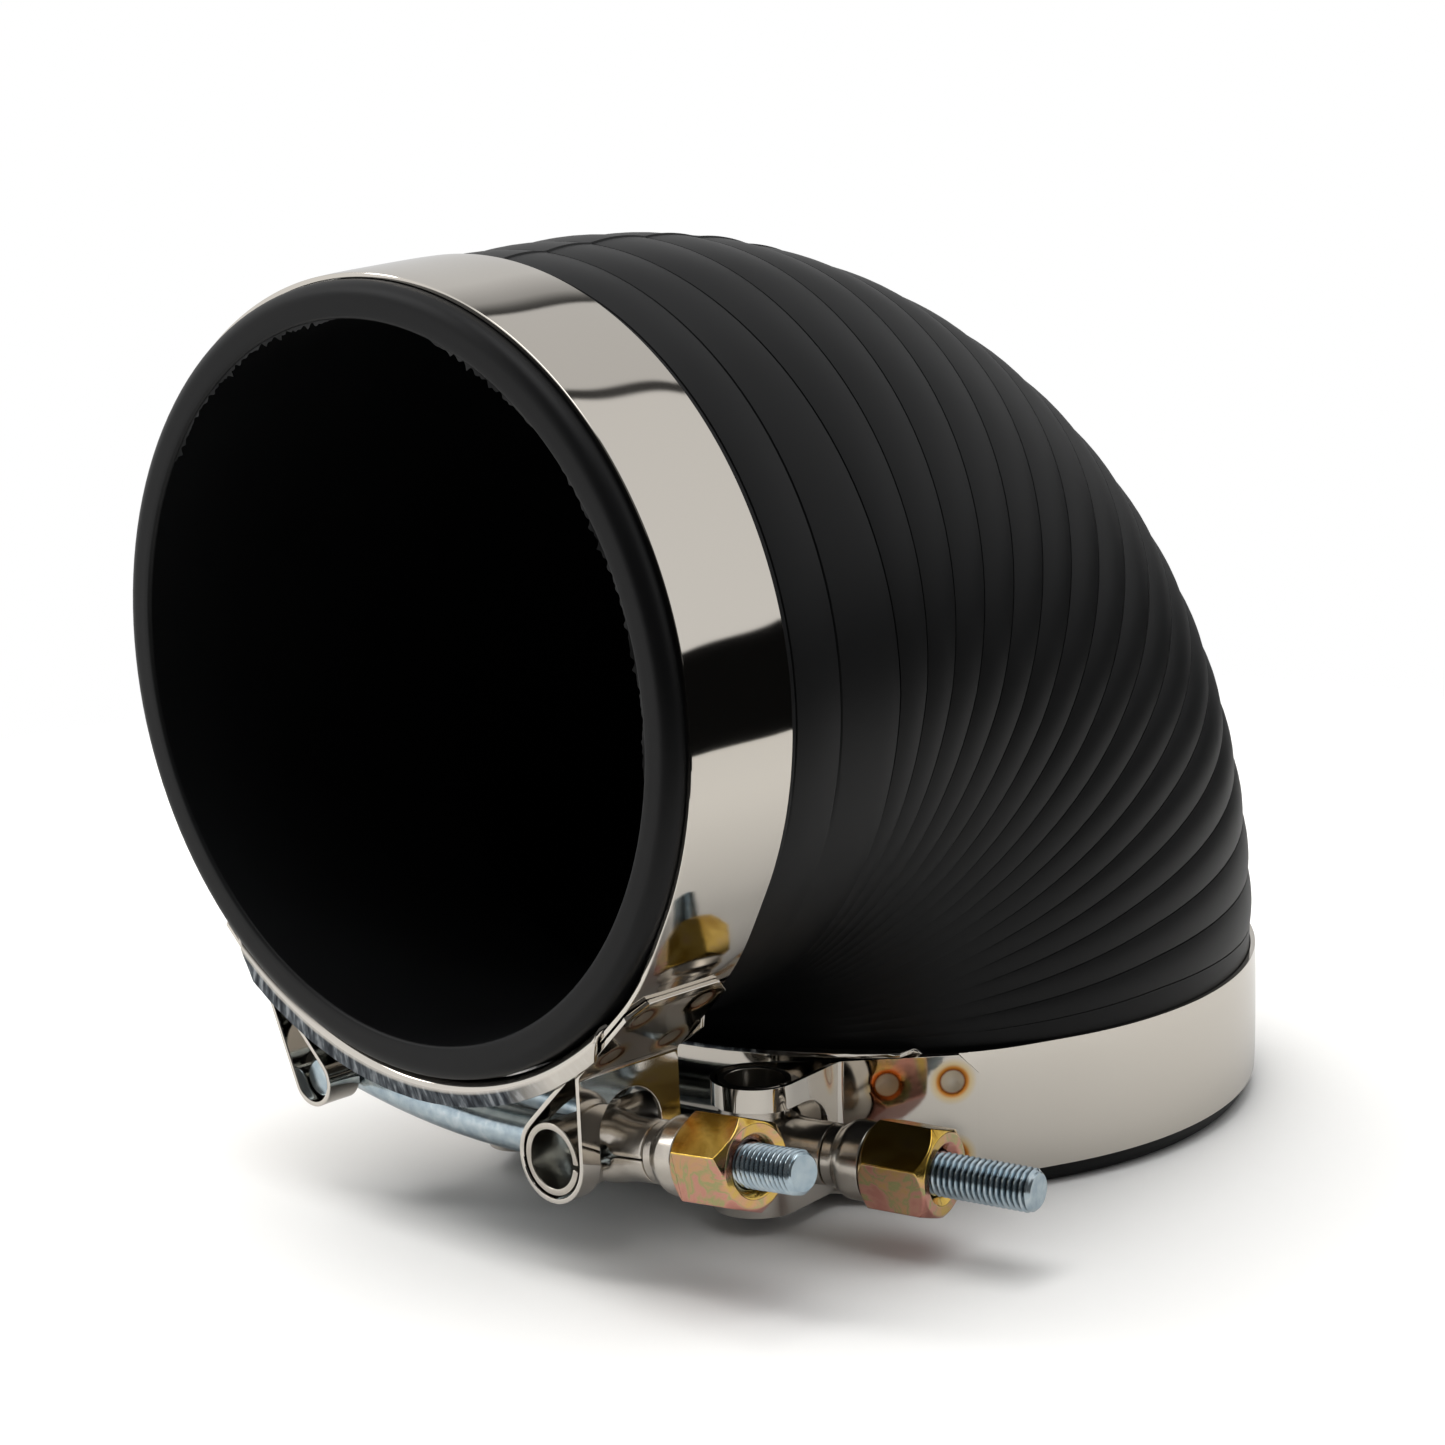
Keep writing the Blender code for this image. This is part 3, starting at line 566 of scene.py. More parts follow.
def addBoreFlash():
    # thin torn skin that the mould left along parts of the mouth's inner edge
    pieces = []
    for number, (start, end) in enumerate(flash["stretches"]):
        columns = int((end - start) * 2)
        edge = hose["boreRadius"] + hose["boreRound"] * 0.4

        def place(column, row, start=start, end=end, columns=columns, number=number):
            share, (least, more) = column / columns, flash["widths"]
            degrees = (end - start) * share
            ragged = 0.5 + 0.5 * noise.noise(Vector((degrees * flash["tears"], number * 7.0, 0.0)))
            ragged = ragged ** 2
            for fromEnd in (share, 1 - share):
                ragged *= smoothShare(fromEnd * flash["endTaper"])
            width = flash["width"] * (least + more * ragged) * row / flash["rows"]
            curl = flash["curl"] * width * sin(degrees * flash["curlsPerDegree"])
            return ductPoint(mouthStation + flash["inset"] + curl, radians(start + degrees), edge - width)

        pieces.append(mappedGrid("boreFlash", columns, flash["rows"], place))
    piece = joinPieces(pieces)
    applyModifier(piece, "SOLIDIFY", thickness=flash["thickness"], offset=0.0)
    return finishPiece(piece, "hose", None, rubber, 60)


# Clamps. In a clamp's own frame X runs along the bolt, Y away from the hose and Z across the band.

band = {
    "width": 0.0190,
    "thickness": 0.0007,
    "hoseGap": 0.00025,
    "liftedRadius": 0.0573,
    "liftFull": radians(46.0),
    "liftNone": radians(62.0),
    "foldAngle": radians(48.0),
    "foldBend": 0.0015,
    "foldChamfer": 0.0028,
    "edgeRound": 0.00014,
    "pinGap": 0.0003,
    "trunnionSlot": (0.0118, 0.0100),   # width, and depth from the trunnion's axis towards the hose
    "headSlot": (0.0074, 0.0060),
    "slotSearch": 2.6,     # in pin radii, either side of a pin
    "trunnionLeg": radians(90.0),
    "headLeg": radians(68.0),
    "weldsFromTip": (0.0038, 0.0132),
    "weldAcross": 0.0056,
    "weldRadius": 0.0020,
    "weldEdge": 0.00125,
    "crown": 0.00012,      # how far the strip's long edges settle towards the hose
    "weldDent": 0.00022,
    "step": 0.0011,
    "strands": 22,         # pieces that the strip's width is cut into before it is bent
    "heatReach": 0.0036,
}
bolt = {
    "radius": 0.003175,
    "pitch": 0.000907,
    "threadDepth": 0.00052,
    "drop": radians(4.8),
    "straight": 0.0075,
    "reach": 0.0396,
    "threadLength": 0.0300,
    "headRadius": 0.00275,
    "headLength": 0.0156,
    "headPivotRadius": 0.0665,
    "headPivotAngle": radians(21.7),
    "headEdge": 0.0003,
    "crestFlat": 0.12,     # shares of half a turn
    "flank": 0.76,
    "tipChamfer": 1.3,     # in thread depths
    "shankRows": 30,
    "rowsPerTurn": 8,
    "columns": 40,
}
trunnion = {
    "pivotRadius": 0.0688,
    "pivotAngle": radians(21.6),
    "radius": 0.0052,
    "wall": 0.0010,
    "length": 0.0188,
    "seam": 0.0007,
    "neckRadius": 0.0045,
    "neckFlare": 0.0007,
    "neckReach": 0.0127,
    "neckStart": 0.00286,
    "flareRun": 1.7,
    "notch": 0.0013,       # the neck's halves part at its root
    "notchEnd": 0.00736,
    "neckSeam": 0.0001,
    "neckGrid": (24, 20),
    "slices": 64,
    "notchRun": 0.0016,
    "tubeEdge": 0.00016,
    "neckEdge": 0.00012,
}
ferrule = {
    "length": 0.0066,
    "radius": 0.0057,
    "throat": 0.0016,
    "shoulder": 0.0024,
    "boreGap": 0.0003,
    "gap": 0.0003,
    "closer": 0.0002,      # how far into that gap it reaches
    "round": 0.0003,
    "leastStep": 0.00001,
    "shoulderRows": 8,
}
nut = {
    "acrossFlats": 0.0124,
    "length": 0.0106,
    "chamfer": 0.00125,
    "endShare": 0.955,
    "envelopeGap": 0.0001,
    "envelopeOver": 0.0006,
    "boreGap": 0.0002,
    "mouth": 0.0011,
    "edge": 0.00020,
}
plate = {
    "start": radians(-45.0),
    "end": radians(41.0),
    "radius": 0.0563,
    "thickness": 0.0007,
    "bend": 0.0014,
    "flangeMiddle": 0.0102,
    "flangeTop": 0.0600,
    "startTaper": 0.0090,   # the flange's corners are cut away over these lengths
    "endTaper": 0.0040,
    "marksEnd": 0.0620,     # the press marks and their painted dark reflection fade from here, along the plate
    "marksFade": 0.010,
    "markHeight": 0.00010,
    "markDepth": 0.00007,
    "marksPerMetre": (900, 700),
    "edge": 0.00012,
    "foldSteps": 6,
    "slices": 60,
}
clampPlaces = {
    "front": {
        "body": "front_clamp",
        "matrix": (Matrix.Translation(mouthAxisAt) @ Matrix.Rotation(radians(-2.25), 4, "Y")
                   @ Matrix.Rotation(-quarter, 4, "X")),
        "takeUp": 0.0,
        "nutTurn": radians(9.5),
    },
    "lower": {
        "body": "lower_clamp",
        "matrix": (Matrix.Translation(lowerAxisAt) @ Matrix.Rotation(radians(9.2), 4, "Z")
                   @ Matrix.Rotation(pi, 4, "X")),
        "takeUp": 0.0055,
        "nutTurn": radians(-17.0),
    },
}


def direction(angle):
    return Vector((sin(angle), cos(angle)))


def trunnionPivot(takeUp):
    radius = trunnion["pivotRadius"]
    return radius * direction(trunnion["pivotAngle"] - takeUp / 2 / radius)


def headPivot(takeUp):
    radius = bolt["headPivotRadius"]
    return radius * direction(takeUp / 2 / radius - bolt["headPivotAngle"])


def bandInner(angle):
    plain = hose["outerRadius"] + band["hoseGap"]
    span = band["liftNone"] - band["liftFull"]
    return plain + (band["liftedRadius"] - plain) * smoothShare((band["liftNone"] - angle) / span)


def sweep(start, end, step, place):
    count = max(2, ceil(abs(end - start) / step))
    return [place(start + (end - start) * i / count) for i in range(count + 1)]


def endPath(pivot, pinRadius, legAngle):
    # middle of the strip from the far side of the hose, round its loop, to its folded-back tip
    thickness, lifted = band["thickness"], band["liftedRadius"]
    outer = pinRadius + band["pinGap"] + thickness
    leave = atan2(pivot.x, pivot.y) + acos((lifted + outer) / pivot.length)
    across, along = direction(leave), direction(legAngle)
    fromLeg = pivot.dot(along) + outer + band["foldBend"]
    fromRing = lifted + 2 * thickness + band["foldBend"]
    cross = across.x * along.y - across.y * along.x
    bend = Vector(((fromRing * along.y - fromLeg * across.y) / cross,
                   (across.x * fromLeg - along.x * fromRing) / cross))
    ringStep, loopStep = band["step"] / lifted, radians(9)
    points = sweep(pi, leave, ringStep, lambda a: (bandInner(a) + thickness / 2) * direction(a))
    points += sweep(leave - pi, legAngle, loopStep,
                    lambda a: pivot + (outer - thickness / 2) * direction(a))
    points += sweep(legAngle + pi, leave + pi, loopStep,
                    lambda a: bend + (band["foldBend"] + thickness / 2) * direction(a))
    points += sweep(leave, band["foldAngle"], ringStep,
                    lambda a: (bandInner(a) + 1.5 * thickness) * direction(a))
    return points


def spacedPath(points):
    # the same line with no gap longer than the step, as (distance, point, normal)
    filled = [points[0]]
    for point in points[1:]:
        gap = (point - filled[-1]).length
        if gap < 0.00002:
            continue
        start, count = filled[-1], ceil(gap / band["step"])
        filled += [start.lerp(point, i / count) for i in range(1, count + 1)]
    path, distance = [], 0.0
    for i, point in enumerate(filled):
        before, after = filled[max(i - 1, 0)], filled[min(i + 1, len(filled) - 1)]
        along = (after - before).normalized()
        distance += (point - before).length if i else 0.0
        path.append((distance, point, Vector((-along.y, along.x))))
    return path


def stripPath(takeUp):
    tubeAt, headAt = trunnionPivot(takeUp), headPivot(takeUp)
    right = endPath(tubeAt, trunnion["radius"], band["trunnionLeg"])
    left = endPath(Vector((-headAt.x, headAt.y)), bolt["headRadius"], band["headLeg"])
    return spacedPath(list(reversed(right)) + [Vector((-p.x, p.y)) for p in left[1:]])


def alongPath(path, distance):
    # point and normal at a distance along a path
    low, high = 0, len(path) - 1
    while high - low > 1:
        middle = (low + high) // 2
        if path[middle][0] <= distance:
            low = middle
        else:
            high = middle
    share = (distance - path[low][0]) / (path[high][0] - path[low][0])
    return path[low][1].lerp(path[high][1], share), path[low][2].lerp(path[high][2], share).normalized()


def applyBoolean(piece, operation, tool):
    applyModifier(piece, "BOOLEAN", operation=operation, solver="EXACT", object=tool)
    bpy.data.objects.remove(tool)


def cutSlot(piece, start, end, width):
    # a slot with round ends, punched through the flat strip
    cutters = []
    for centre in (start + width / 2, end - width / 2):
        bpy.ops.mesh.primitive_cylinder_add(vertices=32, radius=width / 2, depth=0.01,
                                            location=(centre, 0, 0))
        cutters.append(newPiece("slotCutter"))
    bpy.ops.mesh.primitive_cube_add(size=1, location=((start + end) / 2, 0, 0),
                                    scale=(end - start - width, width, 0.01))
    cutters.append(newPiece("slotCutter"))
    for cutter in cutters:
        applyBoolean(piece, "DIFFERENCE", cutter)


def slotSpan(path, pivot, depth, nearness):
    inside = [distance for distance, point, normal in path
              if point.y > pivot.y - depth and abs(point.x - pivot.x) < nearness]
    return min(inside), max(inside)


def flatSheet(name, length, width, thickness, location):
    bpy.ops.mesh.primitive_cube_add(size=1, location=location, scale=(length, width, thickness))
    piece = newPiece(name)
    applyPlace()
    return piece


def cutCorner(piece, planeAt, outward):
    # takes off what lies beyond a plane, and closes the cut
    editMesh(piece, lambda: bpy.ops.mesh.bisect(plane_co=planeAt, plane_no=outward, use_fill=True,
                                                clear_outer=True, threshold=0.000001))


def sliceSheet(piece, lengthways, crossways):
    # cuts the sheet across so that it can be bent
    cuts = [((place, 0, 0), (1, 0, 0)) for place in lengthways]
    cuts += [((0, place, 0), (0, 1, 0)) for place in crossways]
    editMesh(piece, *[lambda at=at, normal=normal: bpy.ops.mesh.bisect(
        plane_co=at, plane_no=normal, threshold=0.000001) for at, normal in cuts])


def keepFlatMap(piece, name):
    # the flat sheet's own place as a UV map, before it is bent
    while piece.data.uv_layers:
        piece.data.uv_layers.remove(piece.data.uv_layers[0])
    layer = piece.data.uv_layers.new(name=name)
    for corner in piece.data.loops:
        place = piece.data.vertices[corner.vertex_index].co
        layer.data[corner.index].uv = (place.x, place.y)


def addBand(side, clamp):
    path = stripPath(clamp["takeUp"])
    length = path[-1][0]
    width, thickness = band["width"], band["thickness"]
    piece = flatSheet(f"{side}Band", length, width, thickness, (length / 2, 0, 0))
    chamfer = band["foldChamfer"]
    for endAt, inward in ((0.0, 1), (length, -1)):
        for edge in (1, -1):
            cutCorner(piece, (endAt + inward * chamfer, edge * width / 2, 0), (-inward, edge, 0))
    tubeAt, headAt = trunnionPivot(clamp["takeUp"]), headPivot(clamp["takeUp"])
    for pivot, (slotWidth, depth), pin in ((tubeAt, band["trunnionSlot"], trunnion["radius"]),
                                           (headAt, band["headSlot"], bolt["headRadius"])):
        start, end = slotSpan(path, pivot, depth, pin * band["slotSearch"])
        cutSlot(piece, start, end, slotWidth)
    roundEdges(piece, band["edgeRound"], 2, 40)
    strands = band["strands"]
    sliceSheet(piece, [p[0] for p in path[1:-1]], [width * (i / strands - 0.5) for i in range(1, strands)])
    keepFlatMap(piece, "flatStrip")
    for vertex in piece.data.vertices:
        distance, across, through = vertex.co
        dent = 0.0
        for fromTip in band["weldsFromTip"]:
            away = hypot(min(distance, length - distance) - fromTip,
                              abs(across) - band["weldAcross"])
            deep = (band["weldRadius"] - away) / band["weldEdge"]
            dent = max(dent, band["weldDent"] * smoothShare(deep))
        crown = -band["crown"] * (2 * across / width) ** 4
        point, normal = alongPath(path, min(max(distance, 0.0), length))
        placed = point + normal * (through + dent + crown)
        vertex.co = (placed.x, placed.y, across)
    moveMesh(piece, clamp["matrix"])
    editMesh(piece, fixNormals)
    finish = polishedStrip(f"{side}PolishedStrip", length)
    return finishPiece(piece, clamp["body"], f"{side}_clamp_band", finish, 18)


def addBridgePlate(side, clamp):
    middle = plate["radius"] + plate["thickness"] / 2
    bend = plate["bend"]
    flatHalf = plate["flangeMiddle"] - bend
    half = flatHalf + bend * quarter + plate["flangeTop"] - middle - bend
    length = middle * (plate["end"] - plate["start"])
    piece = flatSheet(f"{side}BridgePlate", length, 2 * half, plate["thickness"], (length / 2, 0, 0))
    drop = half - flatHalf
    for endAt, inward, taper in ((0.0, 1, plate["startTaper"]), (length, -1, plate["endTaper"])):
        for edge in (1, -1):
            cutCorner(piece, (endAt, edge * flatHalf, 0), (-inward * drop, edge * taper, 0))
    roundEdges(piece, plate["edge"], 2, 40)
    steps, slices = plate["foldSteps"], plate["slices"]
    folds = [flatHalf + bend * quarter * i / steps for i in range(steps + 1)]
    sliceSheet(piece, [length * i / slices for i in range(1, slices)], [-f for f in folds] + folds)
    keepFlatMap(piece, "flatStrip")
    for vertex in piece.data.vertices:
        distance, across, through = vertex.co
        edge, away = copysign(1.0, across), abs(across)
        fold = min(max((away - flatHalf) / bend, 0.0), quarter)
        upright = max(away - flatHalf - bend * quarter, 0.0)
        reach = min(away, flatHalf) + bend * sin(fold) - through * sin(fold)
        radius = middle + bend * (1 - cos(fold)) + upright + through * cos(fold)
        angle = plate["start"] + distance / middle
        if upright > 0:   # press marks along the stretched flange
            high, deep = [distance * marks for marks in plate["marksPerMetre"]]
            radius += plate["markHeight"] * noise.noise(Vector((high, edge * 3, 0)))
            reach += plate["markDepth"] * noise.noise(Vector((deep, edge * 9, 5)))
        placed = radius * direction(angle)
        vertex.co = (placed.x, placed.y, edge * reach)
    moveMesh(piece, clamp["matrix"])
    editMesh(piece, fixNormals)
    return finishPiece(piece, clamp["body"], f"{side}_bridge_plate", plateFinish)


def boltAxis():
    return Vector((cos(bolt["drop"]), -sin(bolt["drop"])))


def alongBolt(clamp, reach, turn=0.0):
    # frame on the bolt's axis, Z towards its tip, at a reach from the trunnion's axis
    pivot = trunnionPivot(clamp["takeUp"])
    return (clamp["matrix"] @ Matrix.Translation((pivot.x, pivot.y, 0))
            @ Matrix.Rotation(-bolt["drop"], 4, "Z") @ Matrix.Rotation(quarter, 4, "Y")
            @ Matrix.Translation((0, 0, reach)) @ Matrix.Rotation(turn, 4, "Z"))


def addBolt(side, clamp):
    takeUp, radius = clamp["takeUp"], bolt["radius"]
    head = headPivot(takeUp)
    straightStart = trunnionPivot(takeUp) - bolt["straight"] * boltAxis()
    chord = straightStart - head
    turn = 2 * (atan2(chord.y, chord.x) + bolt["drop"])
    bow = chord.length / (2 * sin(turn / 2))
    arcLength = bow * turn
    length = arcLength + bolt["straight"] + bolt["reach"] + takeUp
    threadStart = length - bolt["threadLength"]
    shankRows, columns = bolt["shankRows"], bolt["columns"]
    threadRows = round(bolt["threadLength"] / bolt["pitch"] * bolt["rowsPerTurn"])
    chamfer = bolt["threadDepth"] * bolt["tipChamfer"]

    def middle(distance):
        if distance > arcLength:
            return straightStart + (distance - arcLength) * boltAxis(), boltAxis()
        slope = turn * (1 - distance / arcLength) - bolt["drop"]
        back = bow * Vector((sin(slope) + sin(bolt["drop"]),
                             cos(bolt["drop"]) - cos(slope)))
        return straightStart - back, Vector((cos(slope), sin(slope)))

    def place(column, row):
        around = 2 * pi * column / columns
        if row <= shankRows:
            distance, cut = threadStart * row / shankRows, 0.0
        else:
            distance = threadStart + (length - threadStart) * (row - shankRows) / threadRows
            phase = ((distance - threadStart) / bolt["pitch"] - around / (2 * pi)) % 1.0
            ridge = min(1.0, max(0.0, (abs(2 * phase - 1) - bolt["crestFlat"]) / bolt["flank"]))
            runIn = smoothShare((distance - threadStart) / bolt["pitch"])
            cut = bolt["threadDepth"] * ridge * runIn
        tipCut = max(0.0, chamfer - (length - distance))
        point, along = middle(distance)
        outward = Vector((-along.y, along.x))
        reach = min(radius - cut, radius - tipCut)
        placed = point + outward * reach * cos(around)
        return Vector((placed.x, placed.y, reach * sin(around)))

    shank = mappedGrid(f"{side}Bolt", columns, shankRows + threadRows, place)
    # how deep each point lies in the thread, for the painted shade in its valleys
    paintedValleyShade = shank.data.attributes.new("paintedValleyShade", "FLOAT", "POINT")
    for vertex in shank.data.vertices:
        away = Vector((vertex.co.x, vertex.co.y)) - straightStart
        along = away.dot(boltAxis())
        inTip = along > length - arcLength - chamfer
        if threadStart - arcLength < along and not inTip:
            deep = radius - hypot(sqrt(max(0.0, away.length_squared - along ** 2)), vertex.co.z)
            paintedValleyShade.data[vertex.index].value = deep / bolt["threadDepth"]
    editMesh(shank, mergeDoubles, fillHoles, fixNormals)
    bpy.ops.mesh.primitive_cylinder_add(vertices=48, radius=bolt["headRadius"],
                                        depth=bolt["headLength"], location=(head.x, head.y, 0))
    bar = newPiece("crossBar")
    applyPlace()
    roundEdges(bar, bolt["headEdge"], 3, 50)
    piece = joinPieces([shank, bar])
    moveMesh(piece, clamp["matrix"])
    return finishPiece(piece, clamp["body"], f"{side}_t_bolt", boltFinish, 40)


def addTrunnion(side, clamp):
    # a sheet rolled into a tube whose two ends run out as the halves of the neck
    pivot = trunnionPivot(clamp["takeUp"])
    outer, wall, half = trunnion["radius"], trunnion["wall"], trunnion["length"] / 2
    middle = outer - wall / 2
    length = 2 * pi * middle - trunnion["seam"]
    tube = flatSheet(f"{side}Trunnion", length, 2 * half, wall, (0, 0, 0))
    roundEdges(tube, trunnion["tubeEdge"], 3, 40)
    slices = trunnion["slices"]
    sliceSheet(tube, [length * (i / slices - 0.5) for i in range(1, slices)], [])
    for vertex in tube.data.vertices:
        distance, across, through = vertex.co
        angle = -quarter - bolt["drop"] + distance / middle   # the seam faces the neck
        placed = pivot + (middle + through) * direction(angle)
        vertex.co = (placed.x, placed.y, across)
    moveMesh(tube, clamp["matrix"])
    columns, rows = trunnion["neckGrid"]
    start = trunnion["neckStart"]
    halves = []
    for sign in (1, -1):

        def place(column, row, sign=sign):
            share = row / rows
            reach = start + (trunnion["neckReach"] - start) * share
            radius = trunnion["neckRadius"] - wall / 2
            radius += trunnion["neckFlare"] * smoothShare(1.0 - share * trunnion["flareRun"])
            parted = smoothShare((trunnion["notchEnd"] - reach) / trunnion["notchRun"])
            gap = (trunnion["neckSeam"] + trunnion["notch"] * parted) / radius
            angle = gap + (pi - 2 * gap) * column / columns
            return Vector((cos(angle) * radius, sign * sin(angle) * radius, reach))

        neckHalf = mappedGrid("neckHalf", columns, rows, place)
        editMesh(neckHalf, fixNormals)
        applyModifier(neckHalf, "SOLIDIFY", thickness=wall, offset=0.0)
        roundEdges(neckHalf, trunnion["neckEdge"], 2, 50)
        moveMesh(neckHalf, alongBolt(clamp, 0.0))
        halves.append(neckHalf)
    piece = joinPieces([tube, *halves])
    editMesh(piece, fixNormals)
    return finishPiece(piece, clamp["body"], f"{side}_trunnion", sheetFinish)


def addFerrule(side, clamp):
    inner = bolt["radius"] + ferrule["boreGap"]
    neck, wide, soft = trunnion["neckRadius"], ferrule["radius"], ferrule["round"]
    length, throat = ferrule["length"], ferrule["throat"]
    start = -ferrule["closer"]
    profile = [(neck - soft, start), (neck, start + soft), (neck, throat * 0.8)]
    for i in range(ferrule["shoulderRows"] + 1):
        share = i / ferrule["shoulderRows"]
        profile.append((neck + (wide - neck) * sin(quarter * share) + ferrule["leastStep"],
                        throat + ferrule["shoulder"] * share))
    profile += [(wide, length - soft), (wide - soft * 0.3, length - soft * 0.3), (wide - soft, length),
                (inner + soft, length), (inner, length - soft), (inner, start + soft), (inner + soft, start)]
    piece = turnedPiece(f"{side}Ferrule", profile)
    moveMesh(piece, alongBolt(clamp, trunnion["neckReach"] + ferrule["gap"]))
    body = f"{side}_ferrule_sleeve"
    return finishPiece(piece, body, f"{side}_ferrule", sheetFinish, 40)


def addNut(side, clamp):
    flat, length = nut["acrossFlats"] / 2, nut["length"]
    corner = flat / cos(pi / 6)
    bpy.ops.mesh.primitive_cylinder_add(vertices=6, radius=corner, depth=length, location=(0, 0, length / 2))
    piece = newPiece(f"{side}Nut")
    applyPlace()
    chamfer, bore, mouth = nut["chamfer"], bolt["radius"] + nut["boreGap"], nut["mouth"]
    over, endRadius = nut["envelopeOver"], flat * nut["endShare"]
    crown = corner + nut["envelopeGap"]
    beyond = endRadius - over * (crown - endRadius) / chamfer
    envelope = [(beyond, -over), (crown, chamfer), (crown, length - chamfer), (beyond, length + over),
                (bore + mouth, length + over), (bore + mouth, length), (bore, length - mouth),
                (bore, mouth * 0.5), (bore + mouth * 0.5, 0.0), (bore + mouth * 0.5, -over)]
    applyBoolean(piece, "INTERSECT", turnedPiece("nutShell", envelope))
    roundEdges(piece, nut["edge"], 3, 28)
    reach = trunnion["neckReach"] + ferrule["gap"] * 2 + ferrule["length"]
    moveMesh(piece, alongBolt(clamp, reach, clamp["nutTurn"]))
    editMesh(piece, fixNormals)
    return finishPiece(piece, f"{side}_nut", f"{side}_lock_nut", nutFinish, 30)


rubber = mouldedRubber()
sheetFinish = rolledStainless()
boltFinish = blueZinc()
nutFinish = yellowZinc()
plateFinish = pressedPlate()
say("finishes made")

addElbow()
addBoreFlash()
say("rubber elbow made")

for side, clamp in clampPlaces.items():
    addBand(side, clamp)
    addBridgePlate(side, clamp)
    addBolt(side, clamp)
    addTrunnion(side, clamp)
    addFerrule(side, clamp)
    addNut(side, clamp)
    say(f"{side} clamp made")


# Studio: a pale table, large soft lamps and a bright room that only shiny surfaces see in detail

studio = {
    "tableRadius": 0.282,
    "tableFade": 0.05,
    "tableRim": 0.004,
    "lampsAim": (0, 0, 0.06),
    "roomDiffuse": 0.30,
    "cameraSide": 0.10,   # the room behind the camera is dim, but for a lit wall at its left
    "leftSide": 0.95,
    "ceiling": 2.4,
    "mirroredTable": 0.68,   # how bright metal sees the table
    "belowSky": 0.004,
    "looks": {   # the axis that a part of the room lies along, and where it starts and is whole
        "toLeft": ("X", -0.25, -0.45),
        "behind": ("Y", 0.10, 0.40),
        "above": ("Z", 0.105, 0.117),   # below this the room is dark
        "overhead": ("Z", 0.90, 0.97),
    },
    "backdrop": [(0.0, 0.70), (0.19, 0.68), (0.25, 0.40), (0.272, 0.12), (0.285, 0.04), (0.293, 0.66),
                 (0.507, 0.66), (0.515, 0.05), (0.532, 0.05), (0.540, 0.80), (1.0, 0.86)],   # left to right
}
lamps = {
    "keyLamp": {"place": (-0.40, -0.10, 1.15), "size": (1.2, 1.2), "power": 16.5, "colour": "#fffdfa"},
    "topLamp": {"place": (0.18, 0.05, 1.10), "size": (0.9, 0.9), "power": 5.0},
    "rimLamp": {"place": (-0.55, -0.45, 0.60), "size": (0.12, 0.5), "power": 1.0, "mirrored": True},
}


def addTable():
    bpy.ops.mesh.primitive_circle_add(vertices=96, radius=studio["tableRadius"], fill_type="NGON",
                                      location=(0, 0, 0))
    table = newPiece("studioTable")
    material, tree, shader = newMaterial("paleTable")
    shader.inputs["Roughness"].default_value = 0.6
    shader.inputs["Specular IOR Level"].default_value = 0.2
    rays = addNode(tree, "LightPath")
    white, seen = linearColour("#fbfbfa"), studio["mirroredTable"]
    tone = addNode(tree, "Mix", {"Factor": rays.outputs["Is Glossy Ray"], "A": white,
                                 "B": [c * seen for c in white[:3]] + [1.0]}, data_type="RGBA")
    link(tree, tone, shader, "Base Color")
    place = addNode(tree, "TexCoord").outputs["Object"]
    away = addNode(tree, "VectorMath", {0: place}, operation="LENGTH")
    edge = addNode(tree, "MapRange", {
        "Value": away, "From Min": studio["tableRadius"] - studio["tableFade"],
        "From Max": studio["tableRadius"] - studio["tableRim"]})
    fade = addNode(tree, "Math", {0: edge, 1: rays.outputs["Is Camera Ray"]}, operation="MULTIPLY")
    clear = addNode(tree, "BsdfTransparent")
    mixed = addNode(tree, "MixShader", {"Fac": fade, 1: shader, 2: clear})
    link(tree, mixed, tree.nodes["Material Output"], "Surface")
    table.data.materials.append(material)


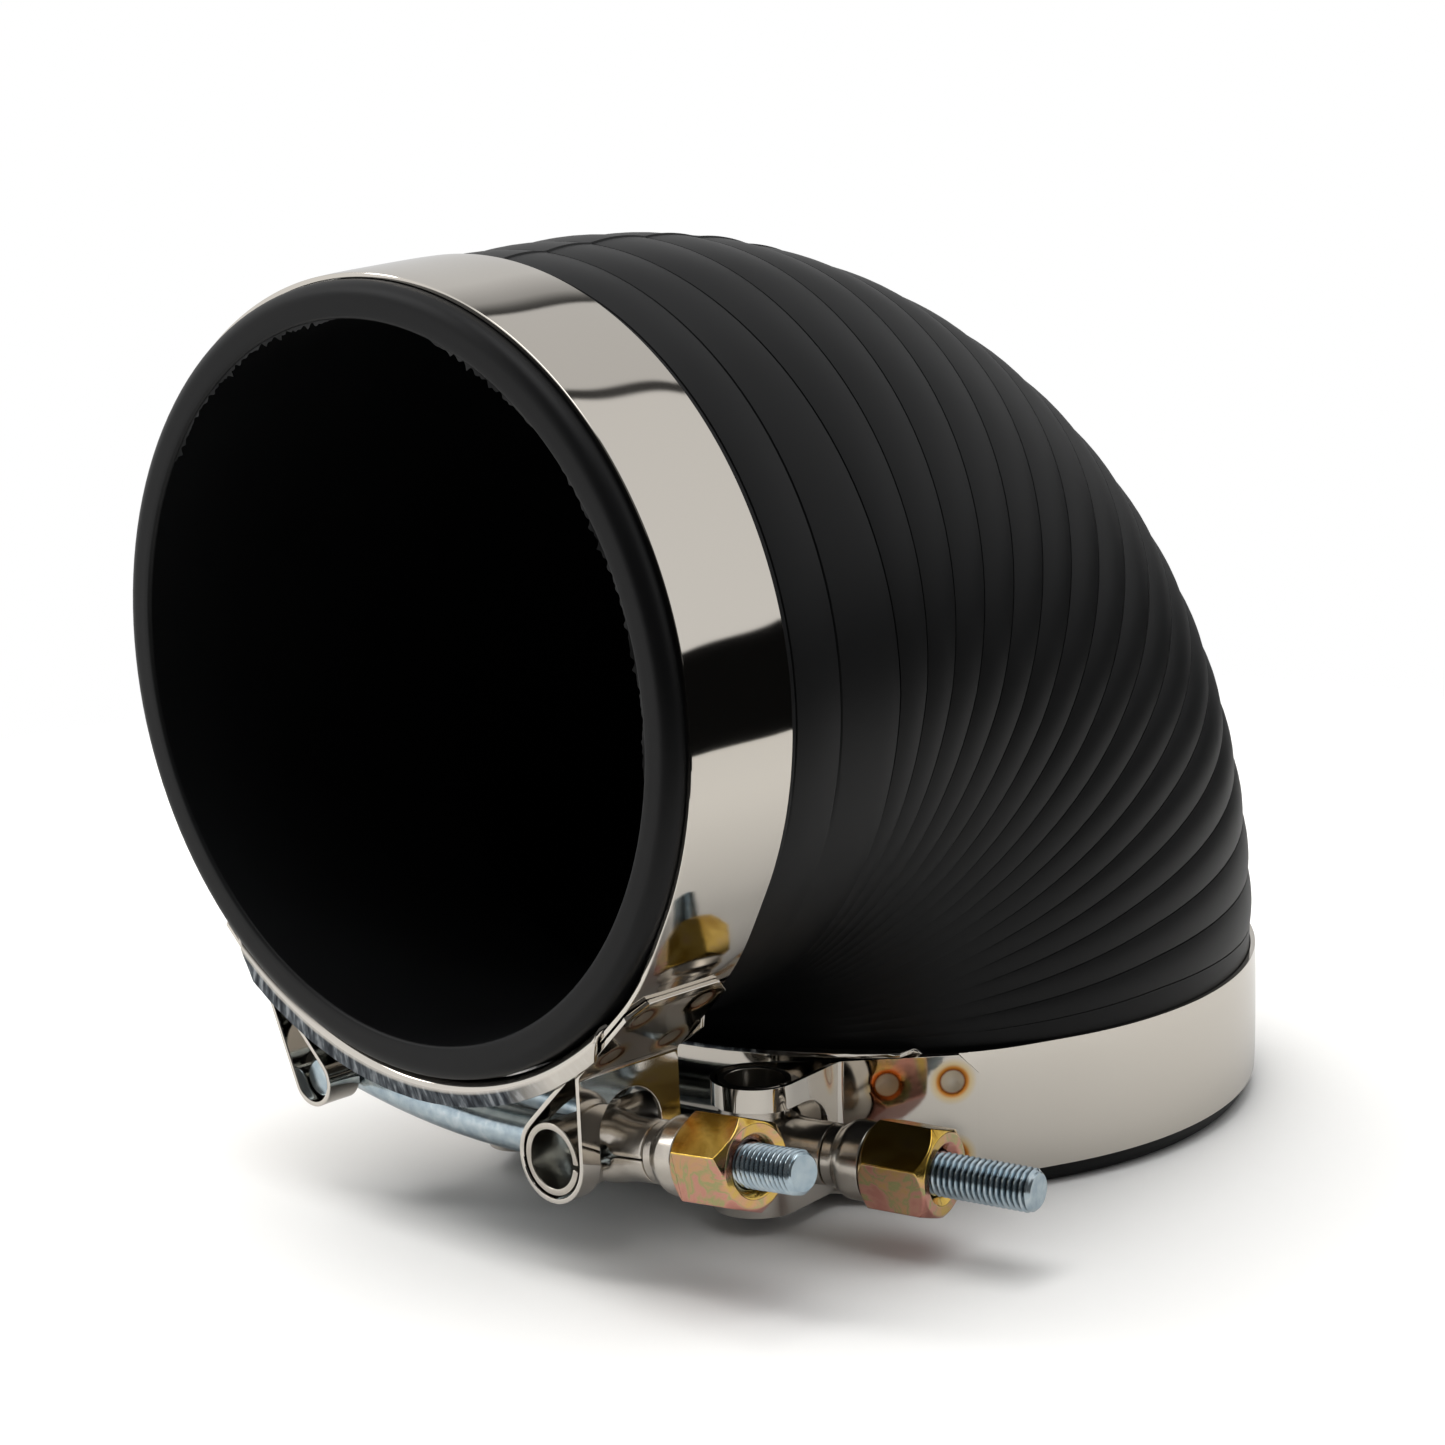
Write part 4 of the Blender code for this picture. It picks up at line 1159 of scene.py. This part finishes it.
def addLamp(name, place, size, power, colour="#ffffff", mirrored=False):
    bpy.ops.object.light_add(type="AREA", location=place)
    lamp = bpy.context.active_object
    lamp.name = name
    lamp.data.shape = "RECTANGLE"
    lamp.data.size, lamp.data.size_y = size
    lamp.data.energy = power
    lamp.data.color = linearColour(colour)[:3]
    lamp.visible_glossy = mirrored
    aim = Vector(studio["lampsAim"]) - Vector(place)
    lamp.rotation_euler = aim.to_track_quat("-Z", "Y").to_euler()


def grey(level):
    return (level, level, level, 1)


def addRoom():
    world = bpy.context.scene.world or bpy.data.worlds.new("room")
    bpy.context.scene.world = world
    world.use_nodes = True
    tree = world.node_tree
    place = addNode(tree, "TexCoord").outputs["Generated"]
    parts = addNode(tree, "SeparateXYZ", {"Vector": place})
    rays = addNode(tree, "LightPath")
    fromLeft = addNode(tree, "MapRange", {"Value": parts.outputs["X"], "From Min": -1.0})
    backdrop = addNode(tree, "ValToRGB", {"Fac": fromLeft}, studio["backdrop"])
    toLeft, behind, above, overhead = [
        addNode(tree, "MapRange", {"Value": parts.outputs[axis], "From Min": low, "From Max": high})
        for axis, low, high in studio["looks"].values()]
    lit = addNode(tree, "Math", {0: above, 1: toLeft}, operation="MAXIMUM")
    room = grey(studio["cameraSide"])
    for share, other in ((toLeft, grey(studio["leftSide"])), (behind, backdrop), (lit, None),
                         (overhead, grey(studio["ceiling"]))):
        first, second = (room, other) if other else (grey(studio["belowSky"]), room)
        room = addNode(tree, "Mix", {"Factor": share, "A": first, "B": second}, data_type="RGBA")
    seen = addNode(tree, "Mix", {"Factor": rays.outputs["Is Glossy Ray"],
                                 "A": grey(studio["roomDiffuse"]), "B": room}, data_type="RGBA")
    final = addNode(tree, "Mix", {"Factor": rays.outputs["Is Camera Ray"], "A": seen,
                                  "B": grey(1)}, data_type="RGBA")
    link(tree, final, tree.nodes["Background"], "Color")
    tree.nodes["Background"].inputs["Strength"].default_value = 1.0


addTable()
for name, lamp in lamps.items():
    addLamp(name, **lamp)
addRoom()
bpy.context.scene.view_settings.view_transform = "Standard"
say("studio made")
